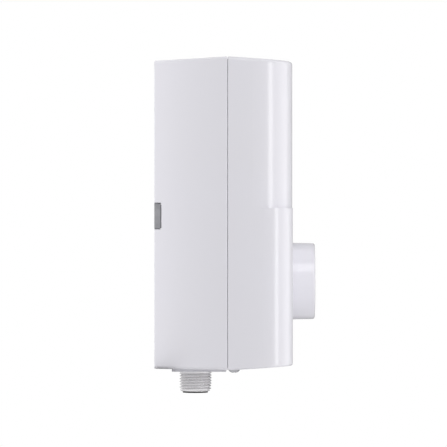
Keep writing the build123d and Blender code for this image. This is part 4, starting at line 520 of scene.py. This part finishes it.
def coilSpring():
    # A helix of steady radius that climbs evenly from its low to its high end
    c = flowSpring
    turn = np.linspace(0, c["turns"], c["steps"])
    angle = 2 * math.pi * turn
    rise = c["lowZ"] + (c["highZ"] - c["lowZ"]) * turn / c["turns"]
    path = np.stack([c["radius"] * np.cos(angle), c["radius"] * np.sin(angle), rise], 1)
    path += np.array([-connection["spread"], -connection["depth"], 0.0])
    coil = (tubeAlong(path, c["wire"], c["sides"]), False, True)
    piece = pieceFromGrids("flowSpring", [coil], finishes["screw_steel"])
    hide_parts("flow_spring")
    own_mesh(piece)


coilSpring()
print("spring coiled")


# Cover screws: domed heads with a cross recess, threaded shanks

coverScrew = {
    "x": 50.0, "depth": 52.1, "seatZ": -101.1, "steps": 96,
    "head": 3.95, "height": 2.9, "rings": 46, "ringPower": 0.9,
    "fallShares": (0.62, 0.38), "fallPowers": (2.4, 12),
    "arm": 2.1, "armWidth": 0.42, "armShares": (0.55, 0.45), "armSlope": 0.12,
    "recess": 1.35, "recessRate": 1.25,
    "shank": 1.9, "length": 10.0, "pitch": 1.25, "threadDepth": 0.35,
    "shankStep": 0.125, "runIn": 1.0, "point": 1.2, "pointShare": 0.25,
}


def crossScrew(side):
    # The head's height falls with two powers of the radius and is cut by a cross that narrows and
    # flattens outwards; the shank's radius is cut by the squared sine of pi times (height over
    # pitch plus the share of a turn) and shrinks to its point
    c = coverScrew
    angle = fullTurn(c["steps"])[None, :]
    share = np.linspace(0.0, 1.0, c["rings"])[1:, None]
    radius = c["head"] * share ** c["ringPower"]
    falls = [part * share ** power for part, power in zip(c["fallShares"], c["fallPowers"])]
    dome = c["height"] * (1 - falls[0] - falls[1])
    x, y = radius * np.cos(angle), radius * np.sin(angle)
    along = np.minimum(np.abs(x), np.abs(y))
    out = np.maximum(np.abs(x), np.abs(y))
    depthShare = np.clip((c["arm"] - out) / c["arm"] * c["recessRate"], 0, 1)
    armHalf = c["armWidth"] * (c["armShares"][0] + c["armShares"][1] * depthShare)
    inArm = np.clip((armHalf - along) / c["armSlope"], 0, 1)
    z = -dome + c["recess"] * depthShare * inArm
    head = np.stack([x, y, z + 0 * angle], axis=-1)
    shankZ = np.arange(0.0, c["length"] + c["shankStep"] / 2, c["shankStep"])[:, None]
    groove = np.sin(math.pi * (shankZ / c["pitch"] + angle / (2 * math.pi))) ** 2
    taper = np.clip((c["length"] - shankZ) / c["point"], c["pointShare"], 1)
    cut = c["threadDepth"] * groove * np.clip(shankZ / c["runIn"], 0, 1)
    shankR = (c["shank"] - cut) * taper
    shank = np.stack([shankR * np.cos(angle), shankR * np.sin(angle), shankZ + 0 * angle], axis=-1)
    rim = np.stack([c["head"] * np.cos(angle), c["head"] * np.sin(angle), 0 * angle], axis=-1)
    grid = np.concatenate([head, rim, shank])
    grid = grid + np.array([side * c["x"], -c["depth"], c["seatZ"]])
    return grid * mm, False, True


screwGrids = [crossScrew(-1), crossScrew(1)]
screwPiece = pieceFromGrids("coverScrewPair", screwGrids, finishes["screw_steel"])
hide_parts("cover_screws")
print("cover screws made")


# Dial: printed marks round the knob, generic numbers for off and three levels

dial = {
    "centreZ": -44.5, "faceDepth": 90.6, "proud": 0.05, "levels": 4, "sweep": 60.0,
    "tickInner": 27.6, "tickOuter": 30.0, "tickWidth": 0.7, "tickPoints": 4,
    "numberRadius": 33.6, "numberSize": 5.2,
    "arcInner": 28.1, "arcOuter": 28.7, "arcGap": 4.0, "arcGrowth": 0.35, "arcPoints": 32,
}
dialInk = mattMoulding("dialInk", (0.13, 0.14, 0.17), (0.11, 0.12, 0.15),
                       roughness=0.4, grain=0.002)


def dialArc(start, end, inner, outer, segments):
    # Thin block between two radii from one angle to another, clockwise from the left seen in front
    angle = np.radians(np.linspace(start, end, segments))[:, None]
    radius = np.array([inner, outer, outer, inner])[None, :]
    depth = dial["faceDepth"] + dial["proud"] * np.array([-1, -1, 1, 1])[None, :]
    x = -radius * np.cos(angle)
    z = dial["centreZ"] + radius * np.sin(angle)
    y = -depth + 0 * angle
    return np.stack([x, y, z], axis=-1) * mm, False, True


def dialNumber(level):
    # A numeral as a thin solid, turned to face the front and stood at its place on the dial
    angle = math.radians(level * dial["sweep"])
    curve = bpy.data.curves.new("dialNumber", "FONT")
    curve.body = str(level)
    curve.size = dial["numberSize"] * mm
    curve.extrude = dial["proud"] * mm
    curve.align_x, curve.align_y = "CENTER", "CENTER"
    text = placed("dialNumber", curve)
    bpy.context.view_layer.update()
    drawn = text.evaluated_get(bpy.context.evaluated_depsgraph_get())
    mesh = bpy.data.meshes.new_from_object(drawn)
    bpy.data.objects.remove(text)
    at = Vector((-dial["numberRadius"] * math.cos(angle), -dial["faceDepth"],
                 dial["centreZ"] + dial["numberRadius"] * math.sin(angle))) * mm
    mesh.transform(Matrix.Translation(at) @ Matrix.Rotation(math.pi / 2, 4, "X"))
    piece = placed("dialNumber" + str(level), mesh)
    mesh.materials.clear()
    mesh.materials.append(dialInk)
    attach(piece, "root")


ticks = []
for level in range(dial["levels"]):
    middle = level * dial["sweep"]
    half = math.degrees(dial["tickWidth"] / 2 / dial["tickOuter"])
    ticks.append(dialArc(middle - half, middle + half, dial["tickInner"], dial["tickOuter"],
                         dial["tickPoints"]))
    dialNumber(level)
for level in range(1, dial["levels"] - 1):
    start = level * dial["sweep"] + dial["arcGap"]
    end = (level + 1) * dial["sweep"] - dial["arcGap"]
    outer = dial["arcOuter"] + dial["arcGrowth"] * level
    ticks.append(dialArc(start, end, dial["arcInner"], outer, dial["arcPoints"]))
tickPiece = pieceFromGrids("dialTicks", ticks, dialInk, smooth=False)
print("dial printed")


# Coloured dots under the casing that tell cold from hot

flowDots = {"radius": 2.2, "depth": 42.5, "z": -103.0, "proud": 0.05, "middleShare": 0.05,
            "rimWidth": 0.02, "rimShare": 0.6, "steps": 48}
for label, side, slotName in (("coldDot", -1, "wire_blue"), ("hotDot", 1, "button_red")):
    r, z = flowDots["radius"], flowDots["proud"]
    profile = [(r * flowDots["middleShare"], -z), (r - flowDots["rimWidth"], -z),
               (r, -z * flowDots["rimShare"]), (r, z)]
    centre = (side * connection["spread"], -flowDots["depth"], flowDots["z"])
    dot = lathe(profile, centre, flowDots["steps"])
    piece = pieceFromGrids(label, [(dot, False, True)], finishes[slotName])
print("dots printed")


# Camera: a long lens at the side, level with the middle of the heater

view = {"distance": 2500.0, "y": -45.1, "z": -5.9, "lens": 300.1, "sensor": 36.0,
        "clip": (0.1, 60.0)}
cameraData = bpy.data.cameras.new("sideCamera")
cameraData.lens = view["lens"]
cameraData.sensor_width = view["sensor"]
cameraData.clip_start, cameraData.clip_end = view["clip"]
camera = placed("sideCamera", cameraData)
camera.location = (-view["distance"] * mm, view["y"] * mm, view["z"] * mm)
camera.rotation_euler = (math.pi / 2, 0, -math.pi / 2)
bpy.context.scene.camera = camera


# Studio: softboxes given by place, aim, size in metres and the brightness of their face; three of
# them light the casing without showing in its gloss
softboxes = {
    "cornerStrip": {"at": (-0.154, -0.196, -0.0025), "aim": (-0.066, -0.075, -0.0025),
                    "size": (0.037, 0.231), "shine": 3.95},
    "cornerHead": {"at": (-0.154, -0.196, 0.2315), "aim": (-0.066, -0.075, 0.2315),
                   "size": (0.037, 0.237), "shine": 3.95, "mirrored": False},
    "cornerFoot": {"at": (-0.154, -0.196, -0.208), "aim": (-0.066, -0.075, -0.208),
                   "size": (0.037, 0.18), "shine": 3.95, "mirrored": False},
    "frontBox": {"at": (0.278, -0.906, 0.13), "aim": (0.0, -0.09, 0.0), "size": (0.7, 0.76),
                 "shine": 0.7},
    "backStrip": {"at": (-0.125, 0.07, 0.026), "aim": (-0.075, 0.0, 0.026), "size": (0.04, 0.648),
                  "shine": 2.6, "mirrored": False},
    "kneeStrip": {"at": (-0.539, -0.13, 0.431), "aim": (-0.025, -0.1, -0.0445),
                  "size": (0.2, 0.31), "shine": 2.7},
    "farBox": {"at": (0.75, 0.25, 0.24), "aim": (0.07, -0.05, 0.0), "size": (0.6, 0.8),
               "shine": 1.5},
    "topBox": {"at": (0.0, -0.1, 1.0), "aim": (0.0, -0.05, 0.0), "size": (0.8, 0.6), "shine": 0.8},
}
for label, box in softboxes.items():
    lightData = bpy.data.lights.new(label, "AREA")
    lightData.shape = "RECTANGLE"
    lightData.size, lightData.size_y = box["size"]
    lightData.energy = box["shine"] * math.pi * box["size"][0] * box["size"][1]
    light = placed(label, lightData)
    light.location = box["at"]
    towards = Vector(box["aim"]) - Vector(box["at"])
    light.rotation_euler = towards.to_track_quat("-Z", "Y").to_euler()
    light.visible_camera = False
    light.visible_glossy = box.get("mirrored", True)

# Cards outside the picture: those with a tone alone are seen only in the gloss, where they draw the
# thin dark outlines; one that shades keeps plain light off what is over it, and isn't mirrored
cards = {
    "frontCard": {"low": (0.07, -0.3, -0.6), "high": (0.25, -0.3, 0.6), "tone": 0.36},
    "farCard": {"low": (0.25, -0.3, -0.6), "high": (2.2, -0.3, 0.6), "tone": 0.35},
    "topCard": {"low": (0.3, -0.4, 0.33), "high": (2.2, 0.35, 0.33), "tone": 0.62},
    "footCard": {"low": (0.2, -0.4, -0.28), "high": (1.6, 0.35, -0.28), "tone": 0.28},
    "edgeCard": {"low": (-0.084, -0.011, -0.1038), "high": (-0.03, 0.002, -0.1038), "tone": 0.03,
                 "shades": True},
    "underCard": {"low": (-0.074, -0.072, -0.121), "high": (0.074, 0.03, -0.121), "tone": 0.08,
                  "shades": True},
}
for label, card in cards.items():
    low, high = np.array(card["low"]), np.array(card["high"])
    lying = low[2] == high[2]
    middle = low + ((0, high[1] - low[1], 0) if lying else (0, 0, high[2] - low[2]))
    opposite = low + high - middle
    cardMesh = bpy.data.meshes.new(label)
    corners = [tuple(corner) for corner in (low, middle, high, opposite)]
    cardMesh.from_pydata(corners, [], [(0, 1, 2, 3)])
    cloth = bpy.data.materials.new(label + "Cloth")
    cloth.use_nodes = True
    tree = cloth.node_tree
    tree.nodes.remove(tree.nodes["Principled BSDF"])
    glow = tree.nodes.new("ShaderNodeEmission")
    glow.inputs["Strength"].default_value = card["tone"]
    tree.links.new(glow.outputs["Emission"], tree.nodes["Material Output"].inputs["Surface"])
    cardMesh.materials.append(cloth)
    flag = placed(label, cardMesh)
    shades = card.get("shades", False)
    flag.visible_camera = flag.visible_transmission = False
    flag.visible_diffuse = flag.visible_shadow = shades
    flag.visible_glossy = not shades


def seenWhite(tree, plain, shine, out):
    # The shine for camera, glossy and transmission rays, the plain shader for every other ray
    path = tree.nodes.new("ShaderNodeLightPath")
    seen = None
    for ray in ("Is Glossy Ray", "Is Transmission Ray"):
        node = tree.nodes.new("ShaderNodeMath")
        node.operation = "MAXIMUM"
        tree.links.new(seen or path.outputs["Is Camera Ray"], node.inputs[0])
        tree.links.new(path.outputs[ray], node.inputs[1])
        seen = node.outputs["Value"]
    mix = tree.nodes.new("ShaderNodeMixShader")
    tree.links.new(seen, mix.inputs["Fac"])
    tree.links.new(plain, mix.inputs[1])
    tree.links.new(shine, mix.inputs[2])
    tree.links.new(mix.outputs["Shader"], out)


backdrop = {"fill": 0.295, "floorZ": -0.3, "floorRadius": 1.5, "floorSides": 96, "floorShift": 0.05,
            "floorShade": 0.92, "floorRoughness": 0.8, "lift": 0.3, "fadeFrom": 0.55,
            "fadeShare": 0.98}
world = bpy.data.worlds.new("paleStudio")
bpy.context.scene.world = world
world.use_nodes = True
tree = world.node_tree
fill = tree.nodes["Background"]
white = tree.nodes.new("ShaderNodeBackground")
for background, strength in ((fill, backdrop["fill"]), (white, 1.0)):
    background.inputs["Color"].default_value = (1, 1, 1, 1)
    background.inputs["Strength"].default_value = strength
seenWhite(tree, fill.outputs["Background"], white.outputs["Background"],
          tree.nodes["World Output"].inputs["Surface"])

# Floor: a disc that keeps the shadow and fades into the white round it
ring = fullTurn(backdrop["floorSides"])
discPoints = np.stack([np.cos(ring), np.sin(ring), 0 * ring], 1) * backdrop["floorRadius"]
discPoints += np.array([0, -backdrop["floorShift"], backdrop["floorZ"]])
floorMesh = bpy.data.meshes.new("paleFloor")
floorMesh.from_pydata(discPoints.tolist(), [], [list(range(backdrop["floorSides"]))])
floor = placed("paleFloor", floorMesh)
floorPaint = bpy.data.materials.new("floorPaint")
floorPaint.use_nodes = True
tree = floorPaint.node_tree
shader = tree.nodes["Principled BSDF"]
shade = backdrop["floorShade"]
shader.inputs["Base Color"].default_value = (shade, shade, shade, 1)
shader.inputs["Roughness"].default_value = backdrop["floorRoughness"]
glow = tree.nodes.new("ShaderNodeEmission")
glow.inputs["Strength"].default_value = backdrop["lift"]
lifted = tree.nodes.new("ShaderNodeAddShader")
tree.links.new(shader.outputs["BSDF"], lifted.inputs[0])
tree.links.new(glow.outputs["Emission"], lifted.inputs[1])
joined = tree.nodes.new("ShaderNodeMixShader")
seenWhite(tree, shader.outputs["BSDF"], lifted.outputs["Shader"], joined.inputs[1])
place = tree.nodes.new("ShaderNodeTexCoord")
centred = tree.nodes.new("ShaderNodeMapping")
centred.inputs["Location"].default_value = (0, backdrop["floorShift"], -backdrop["floorZ"])
tree.links.new(place.outputs["Object"], centred.inputs["Vector"])
away = tree.nodes.new("ShaderNodeVectorMath")
away.operation = "LENGTH"
tree.links.new(centred.outputs["Vector"], away.inputs[0])
fade = tree.nodes.new("ShaderNodeMapRange")
fade.interpolation_type = "SMOOTHSTEP"
fade.inputs["From Min"].default_value = backdrop["fadeFrom"]
fade.inputs["From Max"].default_value = backdrop["floorRadius"] * backdrop["fadeShare"]
tree.links.new(away.outputs["Value"], fade.inputs["Value"])
clear = tree.nodes.new("ShaderNodeBsdfTransparent")
tree.links.new(fade.outputs["Result"], joined.inputs["Fac"])
tree.links.new(clear.outputs["BSDF"], joined.inputs[2])
tree.links.new(joined.outputs["Shader"], tree.nodes["Material Output"].inputs["Surface"])
floorMesh.materials.append(floorPaint)
bpy.context.scene.view_settings.view_transform = "Standard"
print("studio lit")
